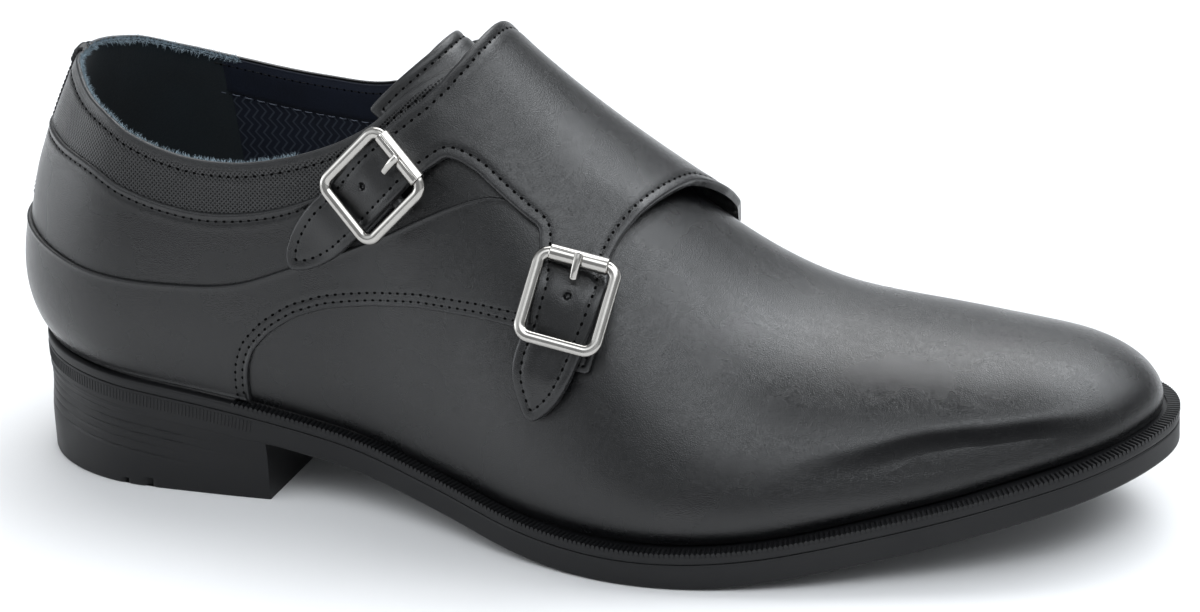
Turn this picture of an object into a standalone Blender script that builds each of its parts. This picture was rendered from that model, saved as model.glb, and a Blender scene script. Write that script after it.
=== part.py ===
"""Double monk-strap shoe for the right foot.

Every table is in millimetres and the meshes are written in metres.
+X runs to the toe, +Y to the inner side of the foot, +Z up. The origin is on the
floor under the centre of the heel.
"""
import math

import bmesh
import bpy
import numpy as np
from mathutils import Matrix, Vector

MM = 0.001
HALF_PI = math.pi / 2
OUTER, INNER = -1, 1          # buckle side of the shoe (-Y) and the side facing the other foot (+Y)

# ---------------------------------------------------------------- plan of the welt
# x, y round the outer side, back of heel to toe tip
OUTER_EDGE = [
    (-32.8, 0.0), (-30.0, -15.0), (-21.5, -26.0), (-9.0, -33.2), (6.0, -35.6), (30.0, -35.4),
    (56.0, -34.0), (85.0, -41.3), (113.0, -52.0), (141.0, -57.0), (169.0, -52.3),
    (198.0, -42.0), (221.0, -32.0), (240.0, -19.8), (250.6, -5.4), (255.0, 9.0)]
# x, y round the inner side, between the same two ends
INNER_EDGE = [
    (-30.0, 15.0), (-21.5, 26.0), (-9.0, 33.2), (6.0, 35.6), (30.0, 34.4), (56.0, 31.0),
    (85.0, 32.5), (113.0, 38.5), (141.0, 44.5), (169.0, 47.8), (198.0, 47.0),
    (221.0, 43.0), (240.0, 35.2), (250.6, 23.8)]

# ---------------------------------------------------------------- form of the last
# One row per section. welt: top of welt. sole: underside of sole. inset: welt edge to upper.
# crown: ridge of the last, y and z. round/square: how full the section is across and up.
# bulge: how far the wall swells, and at what height. lean: how far the wall tips in at the top.
# The heel sections aim at a ridge above the opening, so that their sides rise almost upright.
FORM_COLUMNS = ("x", "welt", "sole", "inset", "crown_y", "crown_z", "round", "square",
                "bulge", "bulge_h", "lean")
FORM = [
    (-33.0, 32.6, 23.6, 2.0, 0.0, 158.0, 2.20, 2.20, 5.6, 19.0, 8.0),
    (-15.0, 31.2, 22.2, 3.0, 0.0, 158.0, 2.20, 2.20, 4.6, 18.0, 5.6),
    (6.0, 28.9, 19.9, 3.0, 0.0, 157.0, 2.20, 2.20, 3.5, 19.0, 3.0),
    (30.0, 25.8, 16.8, 3.0, -0.5, 150.0, 2.20, 2.20, 2.2, 19.0, 2.0),
    (56.0, 20.4, 11.4, 3.0, -1.5, 135.5, 2.10, 2.10, 1.6, 18.0, 1.0),
    (85.0, 14.8, 5.8, 3.2, -1.0, 114.0, 2.00, 2.00, 1.6, 15.0, 0.0),
    (113.0, 10.3, 1.0, 4.0, 1.0, 92.5, 2.00, 2.00, 2.0, 13.0, 0.0),
    (128.0, 9.3, 0.0, 4.4, 3.0, 80.5, 2.00, 2.00, 2.2, 12.0, 0.0),
    (141.0, 9.2, 0.0, 4.6, 5.0, 69.5, 2.00, 2.00, 2.4, 11.0, 0.0),
    (155.0, 9.5, 0.0, 4.6, 7.0, 59.2, 2.05, 2.00, 2.4, 10.0, 0.0),
    (169.0, 10.8, 1.6, 4.6, 8.0, 52.5, 2.10, 2.05, 2.2, 9.0, 0.0),
    (183.0, 13.2, 4.0, 4.6, 8.0, 49.8, 2.10, 2.10, 2.0, 9.0, 0.0),
    (198.0, 16.0, 6.9, 4.6, 8.0, 48.1, 2.15, 2.10, 1.8, 8.0, 0.0),
    (221.0, 21.0, 12.0, 4.6, 8.0, 45.4, 2.20, 2.20, 1.4, 7.0, 0.0),
    (240.0, 25.3, 16.4, 4.6, 8.0, 44.4, 2.40, 2.50, 1.2, 6.0, 0.0),
    (254.0, 27.8, 19.0, 4.6, 8.0, 42.8, 2.70, 2.80, 1.0, 6.0, 0.0)]
HEEL_PIVOT = 4.0              # sections fan round the heel from here back
TOE_PIVOT = 212.0             # and round the toe from here forward
TIP_TURN = math.radians(4.0)  # the toe points this far to the inner side
LEAN_START = 12.0             # height over the welt where the wall begins to tip in
LEAN_SPAN = 52.0              # height over which it reaches the lean of its row
LEAN_LIMIT = 1.3
RIDGE_ZONE = 0.02             # angle from the ridge within which the section counts as level

# ---------------------------------------------------------------- seams, x and z in side view
TOPLINE = {
    OUTER: [(-40, 99.5), (-20, 98.6), (-12, 97.0), (-3.5, 94.6), (6, 90.6), (14, 87.9), (23, 86.1),
            (32, 85.7), (41, 86.6), (50, 88.6), (60, 92.4), (67, 96.5), (75, 103.5), (82, 108.0),
            (90, 110.5)],
    INNER: [(-40, 99.5), (-22, 99.2), (-8, 95.6), (10, 92.6), (35, 90.2), (54, 91.4), (62, 94.0),
            (69, 98.5), (75, 103.5), (82, 108.0), (90, 110.5)]}
BAND_SEAM = [(-40, 86.0), (-20, 84.5), (-6, 82.0), (3, 78.4), (14, 75.2), (27, 73.5), (35, 73.9),
             (45, 75.7), (53, 78.5), (60, 82.0), (70, 89.5), (80, 96.5), (90, 99.0), (100, 94.0),
             (110, 86.0), (125, 74.0)]
PANEL_TOP = [(-40, 63.5), (-28, 62.0), (-16, 59.3), (-6, 57.1), (7, 55.7), (21, 55.5), (35, 57.0),
             (46, 60.8), (60, 66.0), (73, 71.9), (82, 76.7), (90, 80.3), (100, 82.8), (108, 80.0),
             (125, 66.0)]
WAIST_SEAM = [(-40, 42.5), (0, 40.0), (24, 37.0), (35, 36.5), (36.5, 39.0), (41, 44.2), (48, 49.0),
              (56, 51.7), (70, 54.2), (82, 55.8), (99, 56.2), (109, 55.6), (125, 50.0)]
PANEL_BACK_X = 34.8           # where the waist seam drops to the welt
SEAMS_FADE = (104.0, 130.0)   # under the flap the seam rows ease into plain sections
THROAT_X = 90.0               # front end of the opening

# ---------------------------------------------------------------- thicknesses and clearances
FIT = 0.3                     # gap between pieces that lie on one another
WALL = 2.0                    # upper leather and lining together
PANEL_STEP = 0.9              # the lower panel stands over the vamp and the quarter
BAND_STEP = -0.5              # the collar band lies under the quarter's edge
STEP_WIDTH = 0.5              # height over which a step is made
PANEL_ROWS = (0.3, 0.65)      # rows of the wall between the welt and the waist seam
WELT_THICK = 3.0
EDGE_ROUND = 0.8
INSOLE_THICK = 3.0
TONGUE_THICK = 2.0
FLAP_THICK = 2.0
STRIP_THICK = 1.0
CHAPE_THICK = 1.0

# sections along the shoe between the two pivots
SECTION_X = [4, 14, 24, 34.6, 35.0, 38.5, 44, 52, 60, 68, 75, 80, 84, 87, 90, 97, 105, 113, 121, 128,
             135, 142, 155, 169, 183, 198, 212]
HEEL_FAN = 7
TOE_FAN = 8
BREAST_X = 38.5
# x, how far the heel's side is drawn in at the floor, minus where it flares out
HEEL_DRAW = [(-40, -0.9), (-28, -0.6), (-15, 0.0), (0, 0.3), (60, 0.4)]
HEEL_ROUND = 0.5              # small round along its lower edge
HEEL_ROUND_HEIGHT = 1.0
HEEL_NECK = 0.75              # share of the sole's height at which the heel is narrowest
HEEL_NECK_INSET = 0.4
WELT_ROUND = 0.5
INSOLE_CLEAR = 1.2            # from the insole's edge to the upper's lining

# ---------------------------------------------------------------- flap, tongue, straps
# Flap body, one row per line across: x and angle from the ridge at the back edge, then at
# the front edge. Angles are in degrees, minus to the outer side.
FLAP_ROWS = [
    (99.0, 81.0, 112.0, 80.5),
    (95.2, 78.0, 120.0, 76.5),
    (93.0, 70.0, 128.0, 67.0),
    (91.6, 54.0, 133.0, 51.0),
    (90.5, 36.0, 136.0, 34.0),
    (89.3, 20.0, 137.8, 18.0),
    (88.0, 4.0, 138.2, 2.0),
    (86.6, -8.0, 133.6, -12.0),
    (83.6, -22.0, 130.2, -25.0),
    (80.6, -32.0, 128.6, -38.0)]
# Lower end of the flap body in side view: x, z across both strap roots and the notch between
FLAP_END = [(78.6, 102.6), (81.6, 99.6), (84.6, 96.4), (87.6, 93.2), (95.0, 89.6), (101.0, 84.8),
            (107.0, 80.2), (113.0, 75.4), (118.4, 74.0), (123.6, 72.6), (128.8, 71.2)]
UPPER_ROOT = (0, 3)
LOWER_ROOT = (7, 10)
FLAP_OFFSET = 1.4
FLAP_FRONT_STAND = 2.2        # how much higher the front edge stands over the ridge
FLAP_BACK_STAND = 2.7         # and the back edge, over the tongue
STAND_FADE = 6                # power of the cosine by which both die away down the sides
# Straps, one row per station: x, z of the middle, half width
UPPER_STRAP = [
    (80.7, 95.2, 6.8), (78.5, 92.3, 6.5), (76.8, 90.0, 6.2), (75.0, 87.8, 6.2), (73.0, 85.6, 6.2),
    (70.6, 83.2, 6.3), (67.8, 80.4, 6.4), (64.5, 77.6, 6.6), (60.8, 74.5, 6.7), (57.4, 71.6, 6.6),
    (54.4, 68.8, 6.0), (51.8, 66.2, 4.9), (49.6, 64.0, 3.3), (48.2, 62.6, 1.4)]
LOWER_STRAP = [
    (121.6, 70.0, 7.3), (121.6, 67.8, 6.9), (121.5, 65.8, 6.4), (121.3, 63.6, 6.3), (121.0, 61.2, 6.3),
    (120.6, 58.4, 6.6), (119.8, 55.2, 6.9), (118.8, 51.8, 7.2), (117.8, 48.6, 7.2), (117.0, 45.4, 6.7),
    (116.2, 42.2, 5.4), (115.5, 39.4, 3.6), (115.0, 37.4, 1.5)]
# Height of a strap's underside by distance from the middle of its buckle, plus towards the tip.
# It dips under the roller, climbs over the middle bar and dips under the outer bar.
UPPER_LIFT = [(-40, 1.4), (-11, 1.4), (-8, 1.9), (-5, 3.6), (-2.5, 4.9), (0.5, 4.9), (4, 3.9), (8, 2.9),
              (12, 2.7), (18, 2.6), (22, 1.6), (40, 1.4)]
LOWER_LIFT = [(-40, 1.4), (-11, 1.4), (-8, 1.9), (-5, 3.6), (-2.5, 4.9), (0.5, 4.9), (4, 3.9), (8, 2.9),
              (12, 2.7), (17.5, 2.6), (22, 1.0), (40, 0.6)]
TONGUE_REACH = 0.62           # half angle the tongue covers
TONGUE_FRONT_X = 112.0
TONGUE_BACK_X = 82.5
TONGUE_DEPTH = 3.2            # tongue lies this far inside the last
TONGUE_EAR_DROP = 12.0        # the tongue's back edge falls forward this far to its ears
TONGUE_EAR_POWER = 2.2
STRIP_HALF = 3.6
STRIP_FIRST_ROW = 7           # the strip starts just above the lower panel
HEEL_RADIUS = 36.0

# ---------------------------------------------------------------- buckles
FRAME_LONG = 20.0             # between the wire centres of the roller bar and the outer bar
FRAME_WIDE = 17.6
FRAME_CORNER = 3.2
WIRE = 1.15
ROLLER_BORE = 1.4
ROLLER_RADIUS = 1.95
ROLLER_LENGTH = 12.6
ROLLER_SIDES = 16
BAR_RADIUS = 0.8
BAR_PLACE = -1.0              # middle bar, from the frame's middle towards the roller
BAR_FALL = 1.6                # width at each end over which the bar sinks under the strap
PRONG_RADIUS = 0.75
PRONG_GAP = 0.2               # from the prong to the top of the roller
# distance beyond the roller's middle, height over the frame; None rests on the roller
PRONG_PATH = [(-0.4, None), (1.2, None), (3.6, 1.9), (5.6, 1.4)]
# name, x and z of the frame's middle, direction of the strap in side view, lift of frame and bar
BUCKLES = [
    ("upper", 72.4, 83.9, (-0.70, -0.714), 6.6, 3.3),
    ("lower", 121.4, 60.9, (-0.16, -0.987), 6.6, 3.3)]
# name, x and z of the middle, half length, half width, lift
CHAPES = [
    ("chape_upper", 66.6, 78.6, (-0.70, -0.714), 7.0, 6.0),
    ("chape_lower", 121.2, 53.6, (-0.16, -0.987), 7.0, 8.0)]


# ================================================================ curves and tables
def through(xs, ys, x):
    """Smooth curve through the rows that never overshoots a flat or a turning point."""
    xs = np.asarray(xs, float)
    ys = np.asarray(ys, float)
    span = np.diff(xs)
    rise = np.diff(ys) / span
    slope = np.empty_like(ys)
    slope[1:-1] = (rise[:-1] * span[1:] + rise[1:] * span[:-1]) / (span[1:] + span[:-1])
    slope[1:-1][rise[:-1] * rise[1:] <= 0] = 0.0
    slope[0], slope[-1] = rise[0], rise[-1]
    x = np.clip(x, xs[0], xs[-1])
    i = np.clip(np.searchsorted(xs, x) - 1, 0, len(span) - 1)
    t = (x - xs[i]) / span[i]
    return ((2 * t**3 - 3 * t**2 + 1) * ys[i] + (t**3 - 2 * t**2 + t) * span[i] * slope[i]
            + (3 * t**2 - 2 * t**3) * ys[i + 1] + (t**3 - t**2) * span[i] * slope[i + 1])


def along(rows, x):
    """Second column of a two-column table at x."""
    return float(through([r[0] for r in rows], [r[1] for r in rows], x))


FORM_ROWS = np.array(FORM)


def form(column, x):
    return through(FORM_ROWS[:, 0], FORM_ROWS[:, FORM_COLUMNS.index(column)], x)


def ease(a, b, x):
    t = min(max((x - a) / (b - a), 0.0), 1.0)
    return t * t * (3 - 2 * t)


def smooth_loop(points, count=900):
    """Closed smooth curve through the points."""
    pts = np.array(points, float)
    ring = np.vstack([pts[-2:], pts, pts[:3]])
    run = np.r_[0, np.cumsum(np.hypot(*np.diff(ring, axis=0).T))]
    t = np.linspace(run[2], run[2 + len(pts)], count, endpoint=False)
    return np.c_[through(run, ring[:, 0], t), through(run, ring[:, 1], t)]


def loop_normals(loop):
    run = np.roll(loop, -1, 0) - np.roll(loop, 1, 0)
    normal = np.c_[run[:, 1], -run[:, 0]]
    return normal / np.linalg.norm(normal, axis=1)[:, None]


WELT_LOOP = smooth_loop(OUTER_EDGE + INNER_EDGE[::-1])
WELT_NORMALS = loop_normals(WELT_LOOP)
FEATHER_LOOP = WELT_LOOP - WELT_NORMALS * form("inset", WELT_LOOP[:, 0])[:, None]


def crossing(loop, origin, heading):
    """Distance from origin to the loop along heading, and where on the loop it lands."""
    a = loop
    b = np.roll(loop, -1, 0)
    ax, ay = a[:, 0] - origin[0], a[:, 1] - origin[1]
    ex, ey = b[:, 0] - a[:, 0], b[:, 1] - a[:, 1]
    turn = heading[0] * ey - heading[1] * ex
    turn = np.where(abs(turn) < 1e-12, 1e-12, turn)
    dist = (ax * ey - ay * ex) / turn
    part = (ax * heading[1] - ay * heading[0]) / turn
    good = (part >= -1e-9) & (part <= 1 + 1e-9) & (dist > 0)
    best = np.where(good)[0][dist[good].argmin()]
    return dist[best], best


# ================================================================ the last
def station(s, side):
    """Origin and heading of a section. s runs 0-1 round the heel, 1-2 along, 2-3 round the toe."""
    if s <= 1:
        angle = math.pi - s * HALF_PI
        return (HEEL_PIVOT, float(form("crown_y", HEEL_PIVOT))), (math.cos(angle), side * math.sin(angle))
    if s <= 2:
        x = HEEL_PIVOT + (s - 1) * (TOE_PIVOT - HEEL_PIVOT)
        return (x, float(form("crown_y", x))), (0.0, float(side))
    angle = side * HALF_PI * (3 - s) + TIP_TURN * (s - 2)
    return (TOE_PIVOT, float(form("crown_y", TOE_PIVOT))), (math.cos(angle), math.sin(angle))


def s_of_x(x):
    return 1 + (x - HEEL_PIVOT) / (TOE_PIVOT - HEEL_PIVOT)


section_store = {}


def section(s, side):
    key = (round(s, 6), side)
    if key not in section_store:
        origin, heading = station(s, side)
        reach, _ = crossing(FEATHER_LOOP, origin, heading)
        foot_x = origin[0] + heading[0] * reach
        values = {c: float(form(c, foot_x)) for c in FORM_COLUMNS[1:]}
        section_store[key] = (origin, heading, reach, foot_x, values)
    return section_store[key]


def last_point(s, side, theta):
    """Point on the last. theta is 0 at the welt and a quarter turn at the ridge."""
    origin, heading, reach, _, row = section(s, side)
    across = max(math.cos(theta), 0.0) ** (2 / row["round"])
    x = origin[0] + heading[0] * reach * across
    y = origin[1] + heading[1] * reach * across
    rise = max(math.sin(theta), 0.0) ** (2 / row["square"])
    z = row["welt"] + (float(form("crown_z", x)) - row["welt"]) * rise
    height = z - row["welt"]
    swell = height / row["bulge_h"]
    out = row["bulge"] * swell * math.exp(1 - swell)
    tip = min(max((height - LEAN_START) / LEAN_SPAN, 0.0), LEAN_LIMIT)
    out = (out - row["lean"] * tip * tip) * min(1.0, across * 4)
    return np.array([x + heading[0] * out, y + heading[1] * out, z])


def last_normal(s, side, theta):
    origin, heading, _, _, _ = section(s, side)
    if theta > HALF_PI - RIDGE_ZONE:
        step = 0.5
        slope = float(form("crown_z", origin[0] + step) - form("crown_z", origin[0] - step)) / (2 * step)
        normal = np.array([-slope, 0.0, 1.0])
        return normal / np.linalg.norm(normal)
    e = 1e-3
    lo, hi = max(s - e, 0.0), min(s + e, 3.0)
    normal = np.cross(last_point(hi, side, theta) - last_point(lo, side, theta),
                      last_point(s, side, theta + e) - last_point(s, side, max(theta - e, 0.0)))
    normal /= np.linalg.norm(normal)
    outward = heading[0] * normal[0] + heading[1] * normal[1] + math.sin(theta) * normal[2]
    return normal if outward > 0 else -normal


def skin(s, side, theta, lift=0.0):
    """Point on the last moved out along its normal."""
    return last_point(s, side, theta) + last_normal(s, side, theta) * lift


def theta_at(s, side, z):
    low, high = 0.0, HALF_PI
    for _ in range(40):
        mid = (low + high) / 2
        if last_point(s, side, mid)[2] < z:
            low = mid
        else:
            high = mid
    return (low + high) / 2


def skin_xa(x, angle, lift=0.0):
    """Point by x and signed angle from the ridge in radians, minus to the outer side."""
    side = OUTER if angle < 0 else INNER
    return skin(s_of_x(x), side, HALF_PI - abs(angle), lift)


def skin_xz(x, z, lift=0.0, side=OUTER):
    """Point by its place in side view."""
    s = s_of_x(x)
    return skin(s, side, theta_at(s, side, z), lift)


# ================================================================ meshes
materials = {}


def material(name, colour, roughness, metallic=0.0):
    if name not in materials:
        mat = bpy.data.materials.new(name)
        mat.use_nodes = True
        shader = mat.node_tree.nodes["Principled BSDF"]
        shader.inputs["Base Color"].default_value = (*colour, 1.0)
        shader.inputs["Roughness"].default_value = roughness
        shader.inputs["Metallic"].default_value = metallic
        materials[name] = mat
    return materials[name]


def finish(obj, mat, collection):
    obj.data.materials.clear()
    obj.data.materials.append(mat)
    for poly in obj.data.polygons:
        poly.use_smooth = True
    collection.objects.link(obj)
    return obj


def solid(name, points, faces, mat, collection):
    """Object from points in millimetres, welded, with its faces turned outward."""
    mesh = bpy.data.meshes.new(name)
    bm = bmesh.new()
    verts = [bm.verts.new(Vector(p) * MM) for p in points]
    for face in faces:
        ring = [verts[i] for i in face]
        if len(set(ring)) > 2:
            bm.faces.new(ring)
    bmesh.ops.remove_doubles(bm, verts=bm.verts, dist=1e-7)
    bmesh.ops.dissolve_degenerate(bm, edges=bm.edges, dist=1e-7)
    bmesh.ops.triangulate(bm, faces=bm.faces)
    bmesh.ops.recalc_face_normals(bm, faces=bm.faces)
    bm.to_mesh(mesh)
    bm.free()
    return finish(bpy.data.objects.new(name, mesh), mat, collection)


def grid_faces(rows, columns, start=0):
    """Quads of a rows by columns grid of points stored row after row."""
    faces = []
    for r in range(rows - 1):
        for c in range(columns - 1):
            a = start + r * columns + c
            faces.append((a, a + 1, a + columns + 1, a + columns))
    return faces


def thick_sheet(name, top, bottom, faces, mat, collection):
    """Closed solid from a sheet whose points each have a partner on the far face."""
    keys = {}
    index = [keys.setdefault(tuple(np.round(p, 4)), i) for i, p in enumerate(top)]
    sheet = []
    for face in faces:
        ring = []
        for i in face:
            if index[i] not in ring:
                ring.append(index[i])
        if len(ring) > 2:
            sheet.append(tuple(ring))
    count = len(top)
    edges = {}
    for face in sheet:
        for a, b in zip(face, face[1:] + face[:1]):
            edges[(a, b)] = edges.get((a, b), 0) + 1
    walls = [(b, a, a + count, b + count) for a, b in edges if (b, a) not in edges]
    under = [tuple(i + count for i in reversed(face)) for face in sheet]
    used = sorted({i for face in sheet + under + walls for i in face})
    renumber = {old: new for new, old in enumerate(used)}
    points = list(top) + list(bottom)
    return solid(name, [points[i] for i in used],
                 [tuple(renumber[i] for i in face) for face in sheet + under + walls], mat, collection)


# ================================================================ sole, welt and insole
def columns_of_shoe():
    """Section positions from the back of the heel to the toe tip."""
    heel = [k / HEEL_FAN for k in range(HEEL_FAN)]
    toe = [2 + k / TOE_FAN for k in range(1, TOE_FAN + 1)]
    return heel + [s_of_x(x) for x in SECTION_X] + toe


COLUMNS = columns_of_shoe()
LAST_COLUMN = len(COLUMNS) - 1


def rim(inset, z_of_x, side):
    """Points round one side of the shoe, drawn in from the welt edge."""
    points = []
    for s in COLUMNS:
        origin, heading = station(s, side)
        reach, where = crossing(WELT_LOOP, origin, heading)
        x, y = origin[0] + heading[0] * reach, origin[1] + heading[1] * reach
        draw = inset(x) if callable(inset) else inset
        nx, ny = WELT_NORMALS[where]
        points.append((x - nx * draw, y - ny * draw, z_of_x(x)))
    return points


def plate_faces(rings, columns, first=0):
    """Side walls of stacked rings. Ring k holds the outer side then the inner side."""
    faces = []
    size = 2 * columns
    for k in range(rings - 1):
        for side in (0, columns):
            for c in range(columns - 1):
                a = first + k * size + side + c
                faces.append((a, a + 1, a + size + 1, a + size))
    return faces


def cap_faces(ring, columns, from_column, to_column, first=0):
    """Rungs across one ring between two columns."""
    base = first + ring * 2 * columns
    return [(base + c, base + c + 1, base + columns + c + 1, base + columns + c)
            for c in range(from_column, to_column)]


def stacked_plate(name, rings, mat, collection):
    points = []
    for inset, height in rings:
        for side in (OUTER, INNER):
            points += rim(inset, height, side)
    n = len(COLUMNS)
    faces = plate_faces(len(rings), n) + cap_faces(0, n, 0, n - 1) + cap_faces(len(rings) - 1, n, 0, n - 1)
    return solid(name, points, faces, mat, collection)


def welt_z(drop):
    return lambda x: float(form("welt", x)) - drop


def sole_z(rise):
    return lambda x: float(form("sole", x)) + rise


def build_sole(mat, collection):
    """One moulded unit: outsole with toe spring and arch, and the heel under its back part."""
    def draw(x):
        return along(HEEL_DRAW, x)

    rings = [
        (EDGE_ROUND, welt_z(WELT_THICK + FIT)),
        (0.0, welt_z(WELT_THICK + FIT + EDGE_ROUND)),
        (0.0, sole_z(EDGE_ROUND)),
        (EDGE_ROUND, sole_z(0.0))]
    heel_rings = [
        (lambda x: HEEL_NECK_INSET * (1 + draw(x)), lambda x: float(form("sole", x)) * HEEL_NECK),
        (draw, lambda x: HEEL_ROUND_HEIGHT),
        (lambda x: draw(x) + HEEL_ROUND, lambda x: 0.0)]
    n = len(COLUMNS)
    breast = COLUMNS.index(s_of_x(BREAST_X))
    points = []
    for inset, height in rings + heel_rings:
        for side in (OUTER, INNER):
            points += rim(inset, height, side)
    last_ring = len(rings) - 1
    floor_ring = last_ring + len(heel_rings)
    faces = plate_faces(len(rings), n) + cap_faces(0, n, 0, n - 1)
    faces += cap_faces(last_ring, n, breast, n - 1) + cap_faces(floor_ring, n, 0, breast)
    size = 2 * n
    for k in range(last_ring, floor_ring):
        for side in (0, n):
            for c in range(breast):
                a = k * size + side + c
                faces.append((a, a + 1, a + size + 1, a + size))
        a = k * size + breast
        faces.append((a, a + n, a + size + n, a + size))
    used = sorted({i for face in faces for i in face})
    renumber = {old: new for new, old in enumerate(used)}
    return solid("sole_unit", [points[i] for i in used],
                 [tuple(renumber[i] for i in face) for face in faces], mat, collection)


def build_welt(mat, collection):
    rings = [
        (WELT_ROUND, welt_z(0.0)), (0.0, welt_z(WELT_ROUND)),
        (0.0, welt_z(WELT_THICK - WELT_ROUND)), (WELT_ROUND, welt_z(WELT_THICK))]
    return stacked_plate("welt", rings, mat, collection)


def build_insole(mat, collection):
    def inset(x):
        return float(form("inset", x)) + WALL + INSOLE_CLEAR

    rings = [(inset, welt_z(-FIT)), (inset, welt_z(-FIT - INSOLE_THICK))]
    return stacked_plate("insole", rings, mat, collection)


# ================================================================ upper
def upper_rows(s, side):
    """theta and lift of each row of one section, welt to topline or ridge."""
    _, _, _, foot_x, row = section(s, side)
    panel_foot = PANEL_STEP if foot_x < PANEL_BACK_X else 0.0
    steps = 1 - ease(*SEAMS_FADE, foot_x)
    foot = row["welt"] + FIT
    waist = along(WAIST_SEAM, foot_x)
    panel = along(PANEL_TOP, foot_x)
    band = along(BAND_SEAM, foot_x)
    half = STEP_WIDTH / 2
    levels = [
        (foot, panel_foot), (foot + PANEL_ROWS[0] * (waist - foot), panel_foot),
        (foot + PANEL_ROWS[1] * (waist - foot), panel_foot), (waist - half, panel_foot),
        (waist + half, PANEL_STEP), ((waist + panel) / 2, PANEL_STEP),
        (panel - half, PANEL_STEP), (panel + half, 0.0),
        ((panel + band) / 2, 0.0), (band - half, 0.0),
        (band + half, BAND_STEP)]
    open_top = s < s_of_x(THROAT_X) - 1e-6
    top = theta_at(s, side, along(TOPLINE[side], foot_x)) if open_top else HALF_PI
    top_lift = BAND_STEP if open_top else 0.0
    rows = []
    for k, (z, lift) in enumerate(levels):
        plain = HALF_PI * k / (len(levels) + 1)
        rows.append((theta_at(s, side, z) * steps + plain * (1 - steps), lift * steps))
    rows.append(((rows[-1][0] + top) / 2, top_lift))
    rows.append((top, top_lift))
    return rows


def build_upper(mat, collection):
    """Vamp, lower panel, quarters and collar band as one hollow shell with steps at the seams."""
    path = [(s, OUTER) for s in COLUMNS] + [(s, INNER) for s in COLUMNS[-2:0:-1]]
    top, bottom = [], []
    for s, side in path:
        rows = upper_rows(s, side)
        for k, (theta, lift) in enumerate(rows):
            p = skin(s, side, theta, lift)
            q = skin(s, side, theta, -WALL)
            if k == 0:
                q[2] = p[2] = section(s, side)[4]["welt"] + FIT
            top.append(p)
            bottom.append(q)
    rows = len(top) // len(path)
    faces = grid_faces(len(path), rows)
    closing = (len(path) - 1) * rows
    faces += [(closing + r, closing + r + 1, r + 1, r) for r in range(rows - 1)]
    return thick_sheet("upper", top, bottom, faces, mat, collection)


def build_back_strip(mat, collection):
    """Narrow strip down the middle of the heel, from the topline to the lower panel."""
    reach = STRIP_HALF / HEEL_RADIUS / HALF_PI
    path = [(reach, OUTER), (reach / 2, OUTER), (0.0, OUTER), (reach / 2, INNER), (reach, INNER)]
    top, bottom = [], []
    for s, side in path:
        rows = upper_rows(s, side)[STRIP_FIRST_ROW:]
        for theta, lift in rows:
            bottom.append(skin(s, side, theta, lift + FIT))
            top.append(skin(s, side, theta, lift + FIT + STRIP_THICK))
    faces = grid_faces(len(path), len(top) // len(path))
    return thick_sheet("back_strip", top, bottom, faces, mat, collection)


def build_tongue(mat, collection):
    """Tongue inside the throat, its back edge standing clear above the collar."""
    across = np.linspace(-1, 1, 11)
    forward = np.linspace(0, 1, 7)
    top, bottom = [], []
    for v in across:
        angle = v * TONGUE_REACH
        outward = abs(math.sin(angle) / math.sin(TONGUE_REACH))
        back = TONGUE_BACK_X - TONGUE_EAR_DROP * outward ** TONGUE_EAR_POWER
        for u in forward:
            x = back + (TONGUE_FRONT_X - back) * u
            top.append(skin_xa(x, angle, -TONGUE_DEPTH))
            bottom.append(skin_xa(x, angle, -TONGUE_DEPTH - TONGUE_THICK))
    return thick_sheet("tongue", top, bottom, grid_faces(len(across), len(forward)), mat, collection)


# ================================================================ flap and straps
def side_frame(x, z, heading):
    """Unit vectors along, across and out of the outer wall at a place in side view."""
    step = 2.0
    here = skin_xz(x, z)
    run = skin_xz(x + heading[0] * step, z + heading[1] * step) - skin_xz(
        x - heading[0] * step, z - heading[1] * step)
    run /= np.linalg.norm(run)
    out = last_normal(s_of_x(x), OUTER, theta_at(s_of_x(x), OUTER, z))
    out = out - run * out.dot(run)
    out /= np.linalg.norm(out)
    return here, run, np.cross(out, run), out


def strap_rows(table, root, lifts, buckle):
    """Strap stations as rows of side-view points, starting from the row at its root."""
    _, mid_x, mid_z, heading, _, _ = buckle
    middle, run, _, _ = side_frame(mid_x, mid_z, heading)
    rows = [[(x, z, FLAP_OFFSET) for x, z in root]]
    for k, (x, z, half) in enumerate(table):
        before, after = table[max(k - 1, 0)], table[min(k + 1, len(table) - 1)]
        along_strap = np.array([after[0] - before[0], after[1] - before[1]])
        along_strap /= np.linalg.norm(along_strap)
        side = np.array([-along_strap[1], along_strap[0]])
        if side.dot(np.array(root[0]) - np.array(root[-1])) < 0:
            side = -side
        lift = along(lifts, float(run.dot(skin_xz(x, z) - middle)))
        rows.append([(x + side[0] * half * w, z + side[1] * half * w, lift)
                     for w in np.linspace(1, -1, len(root))])
    return rows


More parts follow.
